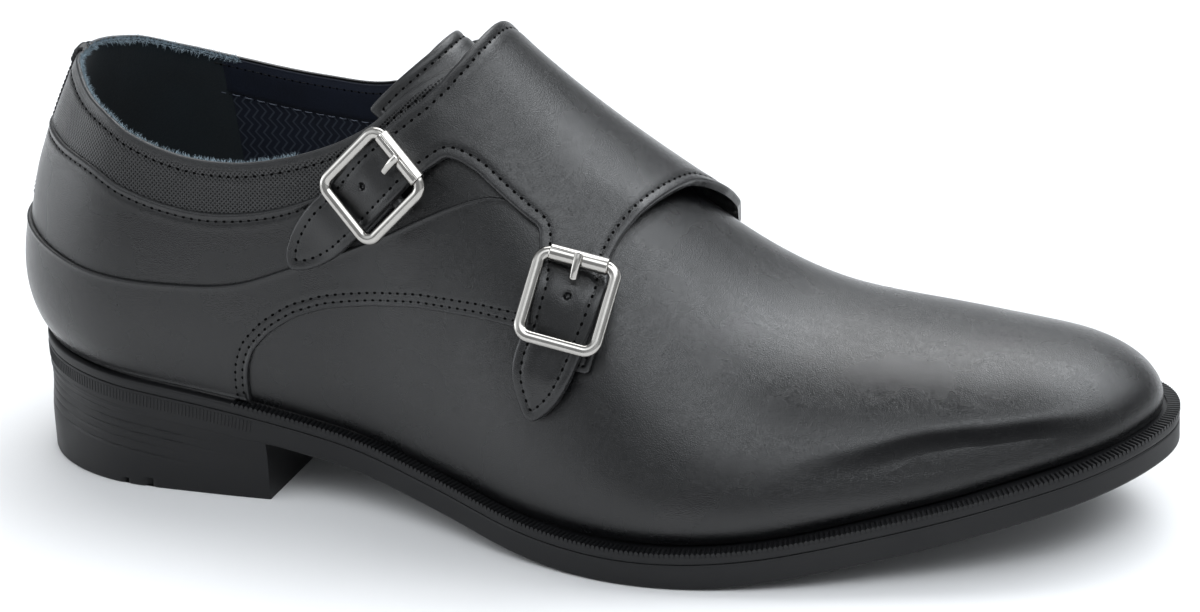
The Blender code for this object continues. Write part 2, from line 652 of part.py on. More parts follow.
def build_flap(mat, collection):
    """Flap over the instep with its two straps, one piece."""
    top, bottom, faces = [], [], []

    def put(top_point, bottom_point):
        top.append(top_point)
        bottom.append(bottom_point)

    end_angles = []
    for x, z in FLAP_END:
        s = s_of_x(x)
        end_angles.append(-(HALF_PI - theta_at(s, OUTER, z)))
    count = len(FLAP_END)
    shares = np.linspace(0, 1, count)
    for x0, a0, x1, a1 in FLAP_ROWS:
        for t in shares:
            x = x0 + (x1 - x0) * t
            angle = math.radians(a0 + (a1 - a0) * t)
            stand = FLAP_FRONT_STAND * t**3 + FLAP_BACK_STAND * (1 - t)**3
            stand *= math.cos(angle)**STAND_FADE
            rise = FLAP_OFFSET + stand
            put(skin_xa(x, angle, rise + FLAP_THICK), skin_xa(x, angle, rise))
    for (x, z), angle in zip(FLAP_END, end_angles):
        put(skin_xa(x, angle, FLAP_OFFSET + FLAP_THICK), skin_xa(x, angle, FLAP_OFFSET))
    faces += grid_faces(len(FLAP_ROWS) + 1, count)
    straps = ((UPPER_STRAP, UPPER_ROOT, UPPER_LIFT, BUCKLES[0]),
              (LOWER_STRAP, LOWER_ROOT, LOWER_LIFT, BUCKLES[1]))
    for table, (first, last), lifts, buckle in straps:
        root = FLAP_END[first:last + 1]
        rows = strap_rows(table, root, lifts, buckle)
        start = len(top)
        for row in rows:
            for x, z, lift in row:
                put(skin_xz(x, z, lift + FLAP_THICK), skin_xz(x, z, lift))
        faces += grid_faces(len(rows), len(root), start)
    return thick_sheet("strap_flap", top, bottom, faces, mat, collection)


def build_chape(name, x, z, heading, half_long, half_wide, mat, collection):
    """Small stitched tab that holds the buckle's bar, flat on the panel."""
    top, bottom = [], []
    across = np.array([-heading[1], heading[0]])
    base = PANEL_STEP + FIT
    for u in np.linspace(-half_long, half_long, 5):
        for w in np.linspace(-half_wide, half_wide, 4):
            px, pz = x + heading[0] * u + across[0] * w, z + heading[1] * u + across[1] * w
            top.append(skin_xz(px, pz, base + CHAPE_THICK))
            bottom.append(skin_xz(px, pz, base))
    return thick_sheet(name, top, bottom, grid_faces(5, 4), mat, collection)


# ================================================================ buckles
def tube(name, points, radius, cyclic, matrix):
    """Round wire through the points, as a closed mesh in metres."""
    curve = bpy.data.curves.new(name, "CURVE")
    curve.dimensions = "3D"
    curve.bevel_depth = radius * MM
    curve.bevel_resolution = 2
    curve.use_fill_caps = True
    spline = curve.splines.new("POLY")
    spline.points.add(len(points) - 1)
    for target, p in zip(spline.points, points):
        target.co = (*(Vector(p) * MM), 1.0)
    spline.use_cyclic_u = cyclic
    holder = bpy.data.objects.new(name, curve)
    bpy.context.scene.collection.objects.link(holder)
    depsgraph = bpy.context.evaluated_depsgraph_get()
    mesh = bpy.data.meshes.new_from_object(holder.evaluated_get(depsgraph))
    bpy.data.objects.remove(holder)
    bm = bmesh.new()
    bm.from_mesh(mesh)
    bmesh.ops.remove_doubles(bm, verts=bm.verts, dist=1e-6)
    bmesh.ops.triangulate(bm, faces=bm.faces)
    bmesh.ops.recalc_face_normals(bm, faces=bm.faces)
    bm.to_mesh(mesh)
    bm.free()
    mesh.name = name
    obj = bpy.data.objects.new(name, mesh)
    obj.matrix_world = matrix
    return obj


def frame_outline():
    """Rounded rectangle, the roller bar at minus half the length."""
    points = []
    corner_turns = [(1, 1, 0), (-1, 1, 90), (-1, -1, 180), (1, -1, 270)]
    for sx, sy, turn in corner_turns:
        cx = sx * (FRAME_LONG / 2 - FRAME_CORNER)
        cy = sy * (FRAME_WIDE / 2 - FRAME_CORNER)
        for step in (0, 30, 60, 90):
            a = math.radians(turn + step)
            points.append((cx + FRAME_CORNER * math.cos(a), cy + FRAME_CORNER * math.sin(a), 0.0))
    return points


def roller_mesh(name):
    """Tube round the roller bar, turned from its wall section."""
    mesh = bpy.data.meshes.new(name)
    half = ROLLER_LENGTH / 2
    wall = [(ROLLER_BORE, -half), (ROLLER_RADIUS, -half), (ROLLER_RADIUS, half), (ROLLER_BORE, half)]
    bm = bmesh.new()
    rings = []
    for k in range(ROLLER_SIDES):
        a = 2 * math.pi * k / ROLLER_SIDES
        rings.append([bm.verts.new(Vector((r * math.cos(a), h, r * math.sin(a))) * MM) for r, h in wall])
    for k in range(ROLLER_SIDES):
        here, after = rings[k], rings[(k + 1) % ROLLER_SIDES]
        for j in range(4):
            bm.faces.new((here[j], here[(j + 1) % 4], after[(j + 1) % 4], after[j]))
    bmesh.ops.triangulate(bm, faces=bm.faces)
    bmesh.ops.recalc_face_normals(bm, faces=bm.faces)
    bm.to_mesh(mesh)
    bm.free()
    return mesh


def join_by_boolean(target, other):
    mod = target.modifiers.new("bar", "BOOLEAN")
    mod.operation = "UNION"
    mod.solver = "EXACT"
    mod.object = other


def build_buckle(label, x, z, heading, lift, bar_lift, mat, collection, tools):
    """Frame with its middle bar, the roller on the bar nearest the flap, and the prong."""
    middle, run, across, out = side_frame(x, z, heading)
    basis = Matrix((run, across, out)).transposed().to_4x4()
    placed = Matrix.Translation(Vector(middle + out * lift) * MM) @ basis
    frame = tube("buckle_frame_" + label, frame_outline(), WIRE, True, placed)
    finish(frame, mat, collection)
    reach = FRAME_WIDE / 2
    sink = bar_lift - lift
    bar_path = [(-reach, 0.0), (BAR_FALL - reach, sink), (reach - BAR_FALL, sink), (reach, 0.0)]
    bar = tube("bar_tool_" + label, [(BAR_PLACE, w, h) for w, h in bar_path], BAR_RADIUS, False, placed)
    tools.objects.link(bar)
    join_by_boolean(frame, bar)
    roller = bpy.data.objects.new("roller_" + label, roller_mesh("roller_" + label))
    roller.matrix_world = placed @ Matrix.Translation(Vector((-FRAME_LONG / 2, 0, 0)) * MM)
    finish(roller, mat, collection)
    crest = ROLLER_RADIUS + PRONG_RADIUS + PRONG_GAP
    prong_points = [(u - FRAME_LONG / 2, 0.0, crest if h is None else h) for u, h in PRONG_PATH]
    prong = tube("prong_" + label, prong_points, PRONG_RADIUS, False, placed)
    finish(prong, mat, collection)


# ================================================================ assembly
def main():
    for obj in list(bpy.data.objects):
        bpy.data.objects.remove(obj)
    shoe = bpy.data.collections.new("monk_strap_shoe")
    tools = bpy.data.collections.new("tools")
    for c in (shoe, tools):
        bpy.context.scene.collection.children.link(c)
    leather = material("black_leather", (0.012, 0.012, 0.014), 0.34)
    band = material("strap_leather", (0.011, 0.011, 0.012), 0.38)
    rubber = material("black_rubber", (0.014, 0.014, 0.015), 0.5)
    lining = material("dark_lining", (0.010, 0.018, 0.034), 0.7)
    nickel = material("nickel", (0.72, 0.70, 0.67), 0.18, 1.0)
    build_sole(rubber, shoe)
    build_welt(rubber, shoe)
    build_insole(lining, shoe)
    build_upper(leather, shoe)
    build_back_strip(leather, shoe)
    build_tongue(leather, shoe)
    build_flap(band, shoe)
    for name, x, z, heading, half_long, half_wide in CHAPES:
        build_chape(name, x, z, heading, half_long, half_wide, band, shoe)
    for label, x, z, heading, lift, bar_lift in BUCKLES:
        build_buckle(label, x, z, heading, lift, bar_lift, nickel, shoe, tools)
    for obj in tools.objects:
        obj.hide_render = True
        obj.display_type = "WIRE"


main()
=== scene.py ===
"""Dresses the double monk-strap shoe: leather, stitching, lining, buckles and sole.

Every table is in millimetres and the meshes are in metres. +X runs to the toe, -Y to the
buckle side, +Z up. The surface of the last is the same function that shapes the solids.
"""
import math

import bmesh
import bpy
import numpy as np
from bpy.props import FloatProperty, FloatVectorProperty, PointerProperty
from mathutils import Matrix, Vector
from mathutils.geometry import delaunay_2d_cdt
from mathutils.kdtree import KDTree


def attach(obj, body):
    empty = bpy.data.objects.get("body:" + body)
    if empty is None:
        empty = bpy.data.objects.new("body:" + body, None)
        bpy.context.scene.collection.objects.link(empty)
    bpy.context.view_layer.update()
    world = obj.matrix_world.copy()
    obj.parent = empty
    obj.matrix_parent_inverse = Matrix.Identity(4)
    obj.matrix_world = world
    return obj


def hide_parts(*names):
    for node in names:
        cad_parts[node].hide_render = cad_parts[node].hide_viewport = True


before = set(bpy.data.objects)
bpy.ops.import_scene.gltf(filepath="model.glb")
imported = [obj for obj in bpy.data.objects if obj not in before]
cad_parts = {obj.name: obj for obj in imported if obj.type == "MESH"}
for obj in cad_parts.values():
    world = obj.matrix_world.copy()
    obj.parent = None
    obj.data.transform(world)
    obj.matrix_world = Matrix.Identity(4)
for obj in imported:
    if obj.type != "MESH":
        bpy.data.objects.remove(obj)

bl_info = {
    "name": "Monk-strap shoe dresser",
    "version": (1, 0, 0),
    "blender": (4, 5, 0),
    "location": "View3D > Sidebar > Shoe",
    "description": "Builds the leather, stitching, buckles and sole of a double monk-strap shoe",
    "category": "Object",
}

MM = 0.001
HALF_PI = math.pi / 2
OUTER, INNER = -1, 1

# -------- plan of the welt and form of the last
OUTER_EDGE = [
    (-32.8, 0.0), (-30.0, -15.0), (-21.5, -26.0), (-9.0, -33.2), (6.0, -35.6), (30.0, -35.4),
    (56.0, -34.0), (85.0, -41.3), (113.0, -52.0), (141.0, -57.0), (169.0, -52.3),
    (198.0, -42.0), (221.0, -32.0), (240.0, -19.8), (250.6, -5.4), (255.0, 9.0)]
INNER_EDGE = [
    (-30.0, 15.0), (-21.5, 26.0), (-9.0, 33.2), (6.0, 35.6), (30.0, 34.4), (56.0, 31.0),
    (85.0, 32.5), (113.0, 38.5), (141.0, 44.5), (169.0, 47.8), (198.0, 47.0),
    (221.0, 43.0), (240.0, 35.2), (250.6, 23.8)]
FORM_COLUMNS = ("x", "welt", "sole", "inset", "crown_y", "crown_z", "round", "square",
                "bulge", "bulge_h", "lean")
FORM = [
    (-33.0, 32.6, 23.6, 2.0, 0.0, 158.0, 2.20, 2.20, 5.6, 19.0, 8.0),
    (-15.0, 31.2, 22.2, 3.0, 0.0, 158.0, 2.20, 2.20, 4.6, 18.0, 5.6),
    (6.0, 28.9, 19.9, 3.0, 0.0, 157.0, 2.20, 2.20, 3.5, 19.0, 3.0),
    (30.0, 25.8, 16.8, 3.0, -0.5, 150.0, 2.20, 2.20, 2.2, 19.0, 2.0),
    (56.0, 20.4, 11.4, 3.0, -1.5, 135.5, 2.10, 2.10, 1.6, 18.0, 1.0),
    (85.0, 14.8, 5.8, 3.2, -1.0, 114.0, 2.00, 2.00, 1.6, 15.0, 0.0),
    (113.0, 10.3, 1.0, 4.0, 1.0, 92.5, 2.00, 2.00, 2.0, 13.0, 0.0),
    (128.0, 9.3, 0.0, 4.4, 3.0, 80.5, 2.00, 2.00, 2.2, 12.0, 0.0),
    (141.0, 9.2, 0.0, 4.6, 5.0, 69.5, 2.00, 2.00, 2.4, 11.0, 0.0),
    (155.0, 9.5, 0.0, 4.6, 7.0, 59.2, 2.05, 2.00, 2.4, 10.0, 0.0),
    (169.0, 10.8, 1.6, 4.6, 8.0, 52.5, 2.10, 2.05, 2.2, 9.0, 0.0),
    (183.0, 13.2, 4.0, 4.6, 8.0, 49.8, 2.10, 2.10, 2.0, 9.0, 0.0),
    (198.0, 16.0, 6.9, 4.6, 8.0, 48.1, 2.15, 2.10, 1.8, 8.0, 0.0),
    (221.0, 21.0, 12.0, 4.6, 8.0, 45.4, 2.20, 2.20, 1.4, 7.0, 0.0),
    (240.0, 25.3, 16.4, 4.6, 8.0, 44.4, 2.40, 2.50, 1.2, 6.0, 0.0),
    (254.0, 27.8, 19.0, 4.6, 8.0, 42.8, 2.70, 2.80, 1.0, 6.0, 0.0)]
HEEL_PIVOT = 4.0
TOE_PIVOT = 212.0
TIP_TURN = math.radians(4.0)
LEAN_START, LEAN_SPAN, LEAN_LIMIT = 12.0, 52.0, 1.3
BREAST_X = 38.5
HEEL_DRAW = [(-40, -0.9), (-28, -0.6), (-15, 0.0), (0, 0.3), (60, 0.4)]

# -------- seams, x and z in side view
TOPLINE = {
    OUTER: [(-40, 102.2), (-31, 101.8), (-20, 99.6), (-12, 97.2), (-3.5, 94.6), (6, 90.6), (14, 87.9),
            (23, 86.1), (32, 85.7), (41, 86.6), (50, 88.6), (60, 92.4), (67, 96.5), (75, 103.5), (82, 108.0),
            (90, 110.5)],
    INNER: [(-40, 102.2), (-31, 102.4), (-22, 101.0), (-8, 96.6), (10, 92.6), (35, 90.2), (54, 91.4),
            (62, 94.0), (69, 98.5), (75, 103.5), (82, 108.0), (90, 110.5)]}
BAND_SEAM = [(-40, 86.0), (-20, 84.5), (-6, 82.0), (3, 78.4), (14, 75.2), (27, 73.5), (35, 73.9),
             (45, 75.7), (53, 78.5), (60, 82.0), (70, 89.5), (80, 96.5), (90, 99.0), (100, 94.0),
             (110, 86.0), (125, 74.0)]
PANEL_TOP = [(-40, 63.5), (-28, 62.0), (-16, 59.3), (-6, 57.1), (7, 55.7), (21, 55.5), (35, 57.0),
             (46, 60.8), (60, 66.0), (73, 71.9), (82, 76.7), (90, 80.3), (100, 82.8), (108, 80.0),
             (125, 66.0)]
WAIST_SEAM = [(34.8, 20.0), (34.6, 29.0), (35.2, 35.0), (37.0, 40.0), (41.5, 44.8), (48, 49.0), (56, 51.7),
              (70, 54.2), (82, 55.8), (99, 56.2), (109, 55.6), (125, 50.0)]

# -------- flap, tongue and straps
# the notch between the straps: x and z
NOTCH = [(87.8, 90.5), (91.2, 89.5), (95.6, 87.2), (101.2, 83.0), (107.0, 78.9), (111.6, 76.0)]
# back and front edges of the flap: x and angle from the ridge in degrees, inner side first
FLAP_BACK = [
    (99.0, 81.0), (95.2, 78.0), (93.0, 70.0), (91.6, 54.0), (90.5, 36.0), (89.3, 20.0), (88.4, 6.0),
    (88.0, -4.0), (87.4, -10.5), (85.9, -18.6), (83.4, -26.0), (80.0, -32.5), (76.0, -38.2), (71.4, -44.0)]
FLAP_FRONT = [
    (112.0, 80.5), (120.0, 77.5), (128.5, 69.0), (135.5, 55.0), (140.0, 40.0), (141.5, 27.0), (140.2, 16.0),
    (138.0, 8.0), (135.8, 1.4), (132.4, -12.0), (130.0, -21.0), (128.5, -28.2), (127.5, -34.9)]
FLAP_OFFSET, FLAP_FRONT_STAND, FLAP_BACK_STAND, FLAP_THICK = 1.4, 2.2, 2.7, 2.0
# the straps' middle lines from root to tip: x, z and half width
UPPER_STRAP = [
    (80.7, 95.2, 6.8), (78.4, 92.4, 6.6), (76.5, 90.2, 6.7), (74.6, 88.2, 7.0), (72.5, 86.1, 7.3),
    (70.1, 83.7, 7.3), (67.3, 80.9, 7.2), (64.2, 77.9, 7.1), (60.7, 74.6, 7.0), (57.4, 71.6, 6.9),
    (54.4, 68.8, 6.3), (51.8, 66.2, 5.2), (49.6, 64.0, 3.7), (48.0, 62.4, 1.9), (47.4, 61.7, 0.7)]
LOWER_STRAP = [
    (121.6, 70.0, 7.3), (121.6, 67.8, 7.2), (121.5, 65.8, 7.3), (121.3, 63.6, 7.4), (121.0, 61.2, 7.5),
    (120.6, 58.4, 7.5), (119.8, 55.2, 7.4), (118.8, 51.8, 7.4), (117.8, 48.6, 7.4), (117.0, 45.4, 6.9),
    (116.2, 42.2, 5.8), (115.5, 39.4, 4.2), (114.9, 36.9, 2.3), (114.6, 35.6, 0.7)]
# which way each strap's back edge lies: from its root's front corner to its back corner
UPPER_ROOT, LOWER_ROOT = (-9.0, 9.4), (-15.8, 4.2)
# height of a strap over the last by distance along it from its buckle's middle
STRAP_LIFT = [(-40, 1.4), (-14, 1.4), (-11, 1.75), (-7.5, 3.0), (-4, 4.2), (-1, 4.5), (3, 4.0), (8, 3.0),
              (12, 2.7), (18, 2.6), (22, 1.5), (40, 1.1)]
STRAP_ROW = 2.45                # from the flap's edge to its row of stitches
HOLES = [(68.8, 83.1), (121.1, 62.0)]
# buckles: name, x, z, the way along the strap, height over the last, strap
BUCKLES = [("upper", 71.9, 83.5, (-0.70, -0.714), 6.6, UPPER_STRAP),
           ("lower", 121.4, 60.9, (-0.16, -0.987), 6.6, LOWER_STRAP)]
# tabs under the buckles: name, x, z, the way along the strap, half length, half width
CHAPES = [("chape_upper", 66.6, 78.6, (-0.70, -0.714), 7.0, 6.0),
          ("chape_lower", 121.3, 54.4, (-0.16, -0.987), 6.2, 7.8)]
CHAPE_HIGH = 2.2                # a tab's face over the last
FRAME_CORNER = 2.8
BAR_AT, BAR_OVER_LAST = -1.0, 3.3
ROLLER_HALF, ROLLER_OUT, ROLLER_IN = 7.1, 2.05, 1.5
PRONG_OVER = 0.55               # a prong's middle over its roller
# the tongue: half its width in angle from the ridge, its front and back along x, its face under the last
TONGUE_REACH, TONGUE_FRONT_X, TONGUE_BACK_X, TONGUE_DEPTH = 0.62, 112.0, 82.5, 3.2

# -------- vamp, lining, back strip and heel
# crease: (station, height) along it, depth, width of its sharp side, width in all, strength of its painted
# shade, side
CREASES = [
    ([(1.80, 28.6), (1.835, 29.9), (1.865, 31.0), (1.895, 32.0), (1.927, 33.4), (1.959, 34.6), (1.995, 35.2),
      (2.103, 35.4), (2.253, 35.8), (2.392, 36.0), (2.588, 35.5), (2.72, 34.8)], 1.7, 6.5, 30.0, 1.0, OUTER),
    ([(1.80, 33.0), (1.86, 35.0), (1.93, 36.5), (1.99, 37.0)], 0.3, 3.5, 12.0, 0.0, INNER)]
# x where the vamp ends under the panel, and between which it closes over the ridge
VAMP_BACK, VAMP_OPEN, VAMP_CLOSED = 30.0, 92.0, 108.0
LINING_SPLIT = {OUTER: 20.0, INNER: 7.5}       # x where the suede ends
LINING_DEEP = 1.45              # the lining's edge under the last's surface
COLLAR_SWELL = 1.4
STRIP_MIDDLE, STRIP_HALF, STRIP_HIGH = -1.2, 3.6, 1.9
STRIP_X = -33.0                 # where the strip stands along x
# heights under the welt's top at which the heel's lines run, how far forward they reach, depth
HEEL_LINES = [(8.3, 2.0, 0.30), (10.4, -4.0, 0.32), (12.6, 16.0, 0.32), (14.9, 20.0, 0.32), (17.3, 9.0, 0.30),
              (19.9, 14.0, 0.34)]
# notches at the heel's foot: x, half width and height
HEEL_NOTCHES = [(-1.2, 0.6, 1.6), (5.6, 0.8, 2.4)]
WELT_THICK = 3.0
# the sole's wall: its top under the welt's top, the rounding of its upper and lower edge
SOLE_TOP, SOLE_ROUND, SOLE_LOW_ROUND = 2.98, 0.5, 0.8
HEEL_FOOT = 0.6                 # height of the heel's wall over the floor, under which it rounds off
# ribs and ticks: where they end along x, how far they lie inside the edge and under the welt's top
RIB_BACK, RIB_INSET, RIB_DROP = 30.0, 1.45, 0.5
TICK_FRONT, TICK_INSET, TICK_DROP = 35.0, 0.03, 5.2
# the welt's edge: how far it is drawn in and how far under the welt's top, from the upper to the sole
WELT_EDGE = [(6.0, 0.45), (1.6, 0.40), (0.6, 0.44), (0.22, 0.60), (0.04, 0.90), (0.0, 1.3), (0.0, 2.0),
             (0.0, 2.5), (0.12, 2.8), (0.35, 2.95), (0.7, WELT_THICK)]

# -------- stage
# angles in degrees; focal length and middle in the units of the view's width and height
VIEW_WIDE, VIEW_HIGH = 1200, 612
CAMERA = dict(azimuth=21.3, elevation=22.7, roll=-3.0, distance=1000.0, target=(115.0, 0.0, 45.0),
              focal=4121.5, middle=(602.9, 306.8))
AIR_BELOW, AIR_HORIZON = 0.34, 0.42
# wide soft lights: turn from the toe to the inner side and height in degrees, outer and inner half
# angles, and strength
AIR_LOBES = [(65, 60, 16, 5, 6.0), (40, 50, 20, 7, 3.6), (90, 50, 20, 7, 2.4), (15, 54, 18, 6, 2.4),
             (-15, 52, 18, 6, 2.4), (-40, 54, 18, 6, 1.9), (-65, 52, 20, 7, 2.7), (-95, 54, 20, 7, 1.4),
             (-140, 30, 26, 9, 0.8), (-180, -18, 34, 12, 1.31), (-165, 4, 26, 9, 2.6), (100, 8, 30, 10, 0.54),
             (-60, 8, 30, 10, 0.37)]
LAMP_TURN, LAMP_RISE, LAMP_POWER, LAMP_WIDE = 112, 58, 1.1, 40


# ======== curves and tables
def through(xs, ys, x):
    """Smooth curve through the rows that never overshoots."""
    xs, ys = np.asarray(xs, float), np.asarray(ys, float)
    span = np.diff(xs)
    rise = np.diff(ys) / span
    slope = np.empty_like(ys)
    slope[1:-1] = (rise[:-1] * span[1:] + rise[1:] * span[:-1]) / (span[1:] + span[:-1])
    slope[1:-1][rise[:-1] * rise[1:] <= 0] = 0.0
    slope[0], slope[-1] = rise[0], rise[-1]
    x = np.clip(x, xs[0], xs[-1])
    i = np.clip(np.searchsorted(xs, x) - 1, 0, len(span) - 1)
    t = (x - xs[i]) / span[i]
    return ((2 * t**3 - 3 * t**2 + 1) * ys[i] + (t**3 - 2 * t**2 + t) * span[i] * slope[i]
            + (3 * t**2 - 2 * t**3) * ys[i + 1] + (t**3 - t**2) * span[i] * slope[i + 1])


def along(rows, x):
    """Smooth curve through a table of two columns, read at x."""
    xs, ys = np.array(rows).T
    return through(xs, ys, x)


def ease(a, b, x):
    """Smooth step from 0 at a to 1 at b."""
    t = np.clip((np.asarray(x, float) - a) / (b - a), 0.0, 1.0)
    return t * t * (3 - 2 * t)


def hump(x, width):
    """Bell of height 1 round 0."""
    return np.exp(-(np.asarray(x) / width)**2)


def unit(vectors):
    """The same vectors with a length of 1."""
    return vectors / np.linalg.norm(vectors, axis=-1, keepdims=True)


def soften(values, spread, closed=False):
    """Gaussian smoothing down the first axis, spread in samples."""
    values = np.asarray(values, float)
    reach = int(3 * spread) + 1
    weights = np.exp(-0.5 * (np.arange(-reach, reach + 1) / spread)**2)
    weights /= weights.sum()
    before, after = values[-reach:], values[:reach]
    if not closed:
        before, after = 2 * values[0] - values[reach:0:-1], 2 * values[-1] - values[-2:-reach - 2:-1]
    padded = np.concatenate([before, values, after])
    return sum(w * padded[k:k + len(values)] for k, w in enumerate(weights))


def ring_of(loop):
    """Closed line of a loop, its first point again at the end."""
    return np.vstack([loop, loop[:1]])


def run_of(points):
    """Distance along a line of points, or down each column of a grid of them."""
    run = np.cumsum(np.linalg.norm(np.diff(points, axis=0), axis=-1), 0)
    return np.concatenate([np.zeros((1, *run.shape[1:])), run])


def even(points, pitch, closed=False):
    """The same line with its points a pitch apart."""
    points = np.asarray(points, float)
    ring = ring_of(points) if closed else points
    run = run_of(ring)
    count = max(int(round(run[-1] / pitch)), 3)
    t = np.linspace(0, run[-1], count + (not closed), endpoint=not closed)
    return np.stack([np.interp(t, run, ring[:, k]) for k in range(ring.shape[1])], 1)


def smooth_line(points, pitch=0.5, spread=1.5, closed=False):
    """Line through rough points with its corners rounded."""
    return soften(even(points, pitch, closed), spread / pitch, closed)


# ======== the last
X_FINE = np.arange(-60.0, 290.0, 0.5)


def fine_form():
    """The form's columns at X_FINE, carried on straight past both ends of the table."""
    rows = np.array(FORM)

    def carried(a, b, x):
        return a + (a - b) / (a[0] - b[0]) * (x - a[0])

    rows = np.vstack([carried(rows[0], rows[1], -60), rows, carried(rows[-1], rows[-2], 290)])
    return {c: soften(through(rows[:, 0], rows[:, k], X_FINE), 11) for k, c in enumerate(FORM_COLUMNS)}


FORM_FINE = fine_form()


def form(column, x):
    """A column of the form's table at x."""
    return np.interp(x, X_FINE, FORM_FINE[column])


def welt_loop():
    """The welt's edge seen from above, as a closed line of even points."""
    pts = np.array(OUTER_EDGE + INNER_EDGE[::-1])
    ring = np.vstack([pts[-2:], pts, pts[:3]])
    run = np.r_[0, np.cumsum(np.hypot(*np.diff(ring, axis=0).T))]
    t = np.linspace(run[2], run[2 + len(pts)], 1400, endpoint=False)
    loop = even(np.c_[through(run, ring[:, 0], t), through(run, ring[:, 1], t)], 0.5, True)
    return soften(loop, 8, True)


WELT_LOOP = welt_loop()
TURN = np.roll(WELT_LOOP, -1, 0) - np.roll(WELT_LOOP, 1, 0)
WELT_NORMALS = unit(np.c_[TURN[:, 1], -TURN[:, 0]])
FEATHER_LOOP = WELT_LOOP - WELT_NORMALS * form("inset", WELT_LOOP[:, 0])[:, None]


def crossings(loop, origin, heading):
    """Distance from each origin to the loop along its heading, and the place on the loop."""
    b = np.roll(loop, -1, 0)
    ax, ay = loop[None, :, 0] - origin[:, None, 0], loop[None, :, 1] - origin[:, None, 1]
    ex, ey = (b - loop).T
    turn = heading[:, None, 0] * ey - heading[:, None, 1] * ex
    turn = np.where(abs(turn) < 1e-12, 1e-12, turn)
    dist = (ax * ey - ay * ex) / turn
    part = (ax * heading[:, None, 1] - ay * heading[:, None, 0]) / turn
    dist = np.where((part >= -1e-9) & (part <= 1 + 1e-9) & (dist > 0), dist, 1e9)
    place = dist.argmin(1)
    return dist[np.arange(len(place)), place], place


# Stations run round the shoe: u is 0 at the back of the heel, -3 and 3 at the toe tip,
# minus along the outer side. One unit covers the heel, the straight part or the toe.
U = np.linspace(-3, 3, 2401)


def station_tables():
    """For each station: where its section starts and which way it runs, the feather edge, the welt's edge
    with its outward direction, the form's columns and m, the distance round the foot of the upper."""
    s, side = abs(U), np.where(U < 0, OUTER, INNER)
    x = HEEL_PIVOT + np.clip(s - 1, 0, 1) * (TOE_PIVOT - HEEL_PIVOT)
    heel_angle = math.pi - np.minimum(s, 1) * HALF_PI
    toe_angle = HALF_PI * (3 - s) + TIP_TURN * (s - 2) * side
    angle = np.where(s <= 1, heel_angle, np.where(s <= 2, HALF_PI, toe_angle))
    origin = np.c_[x, form("crown_y", x)]
    heading = np.c_[np.cos(angle), side * np.sin(angle)]
    reach, _ = crossings(FEATHER_LOOP, origin, heading)
    _, place = crossings(WELT_LOOP, origin, heading)
    table = np.c_[origin, heading, reach, WELT_LOOP[place], WELT_NORMALS[place]]
    table = soften(table[:-1], 5, True)
    table = ring_of(table)
    table[:, 2:4], table[:, 7:9] = unit(table[:, 2:4]), unit(table[:, 7:9])
    foot = table[:, :2] + table[:, 2:4] * table[:, 4:5]
    names = ("ox", "oy", "hx", "hy", "reach", "wx", "wy", "nx", "ny")
    made = {name: table[:, k] for k, name in enumerate(names)}
    made["foot_x"] = foot[:, 0]
    for column in FORM_COLUMNS[1:]:
        made[column] = form(column, foot[:, 0])
    made["m"] = run_of(foot) - np.interp(0, U, run_of(foot))
    return made


STATION = station_tables()


def at(column, u):
    """A column of the station table at station u."""
    return np.interp(u, U, STATION[column])


def u_of_x(x, side):
    """Station of a place on a side, x forward of the heel's centre."""
    return side * (1 + (np.asarray(x, float) - HEEL_PIVOT) / (TOE_PIVOT - HEEL_PIVOT))


def u_of_m(m):
    """Station from the distance round the foot, minus along the outer side."""
    return np.interp(m, STATION["m"], U)


def m_of_x(x, side):
    """Distance round the foot to a place on a side, minus along the outer side."""
    return at("m", u_of_x(x, side))


def last(u, theta):
    """Points on the last. theta is 0 at the welt and a quarter turn at the ridge."""
    u, theta = np.broadcast_arrays(np.asarray(u, float), np.asarray(theta, float))
    welt, hx, hy = at("welt", u), at("hx", u), at("hy", u)
    across = np.maximum(np.cos(theta), 0.0) ** (2 / at("round", u))
    x = at("ox", u) + hx * at("reach", u) * across
    y = at("oy", u) + hy * at("reach", u) * across
    rise = np.maximum(np.sin(theta), 0.0) ** (2 / at("square", u))
    z = welt + (form("crown_z", x) - welt) * rise
    swell = (z - welt) / at("bulge_h", u)
    out = at("bulge", u) * swell * np.exp(1 - swell)
    tip = np.clip((z - welt - LEAN_START) / LEAN_SPAN, 0.0, LEAN_LIMIT)
    out = (out - at("lean", u) * tip * tip) * ease(0.0, 0.45, across)
    return np.stack([x + hx * out, y + hy * out, z], -1)


def last_normal(u, theta):
    """Outward directions on the last, eased to the ridge's own along the top."""
    u, theta = np.broadcast_arrays(np.asarray(u, float), np.asarray(theta, float))
    e, t = 0.006, 0.012
    du = last(np.minimum(u + e, 3), theta) - last(np.maximum(u - e, -3), theta)
    dt = last(u, np.minimum(theta + t, HALF_PI)) - last(u, np.maximum(theta - t, 0.0))
    normal = np.cross(dt, du)
    length = np.linalg.norm(normal, axis=-1, keepdims=True)
    normal = normal / np.maximum(length, 1e-9)
    ox = at("ox", u)
    slope = (form("crown_z", ox + 1) - form("crown_z", ox - 1)) / 2
    top = unit(np.stack([-slope, np.zeros_like(slope), np.ones_like(slope)], -1))
    near = ease(HALF_PI - 0.06, HALF_PI - 0.02, theta)[..., None]
    near = np.where(length < 1e-6, 1.0, near)
    return unit(normal * (1 - near) + top * near)


def skin(u, theta, lift):
    """Points at a height over the last."""
    return last(u, theta) + last_normal(u, theta) * np.asarray(lift, float)[..., None]


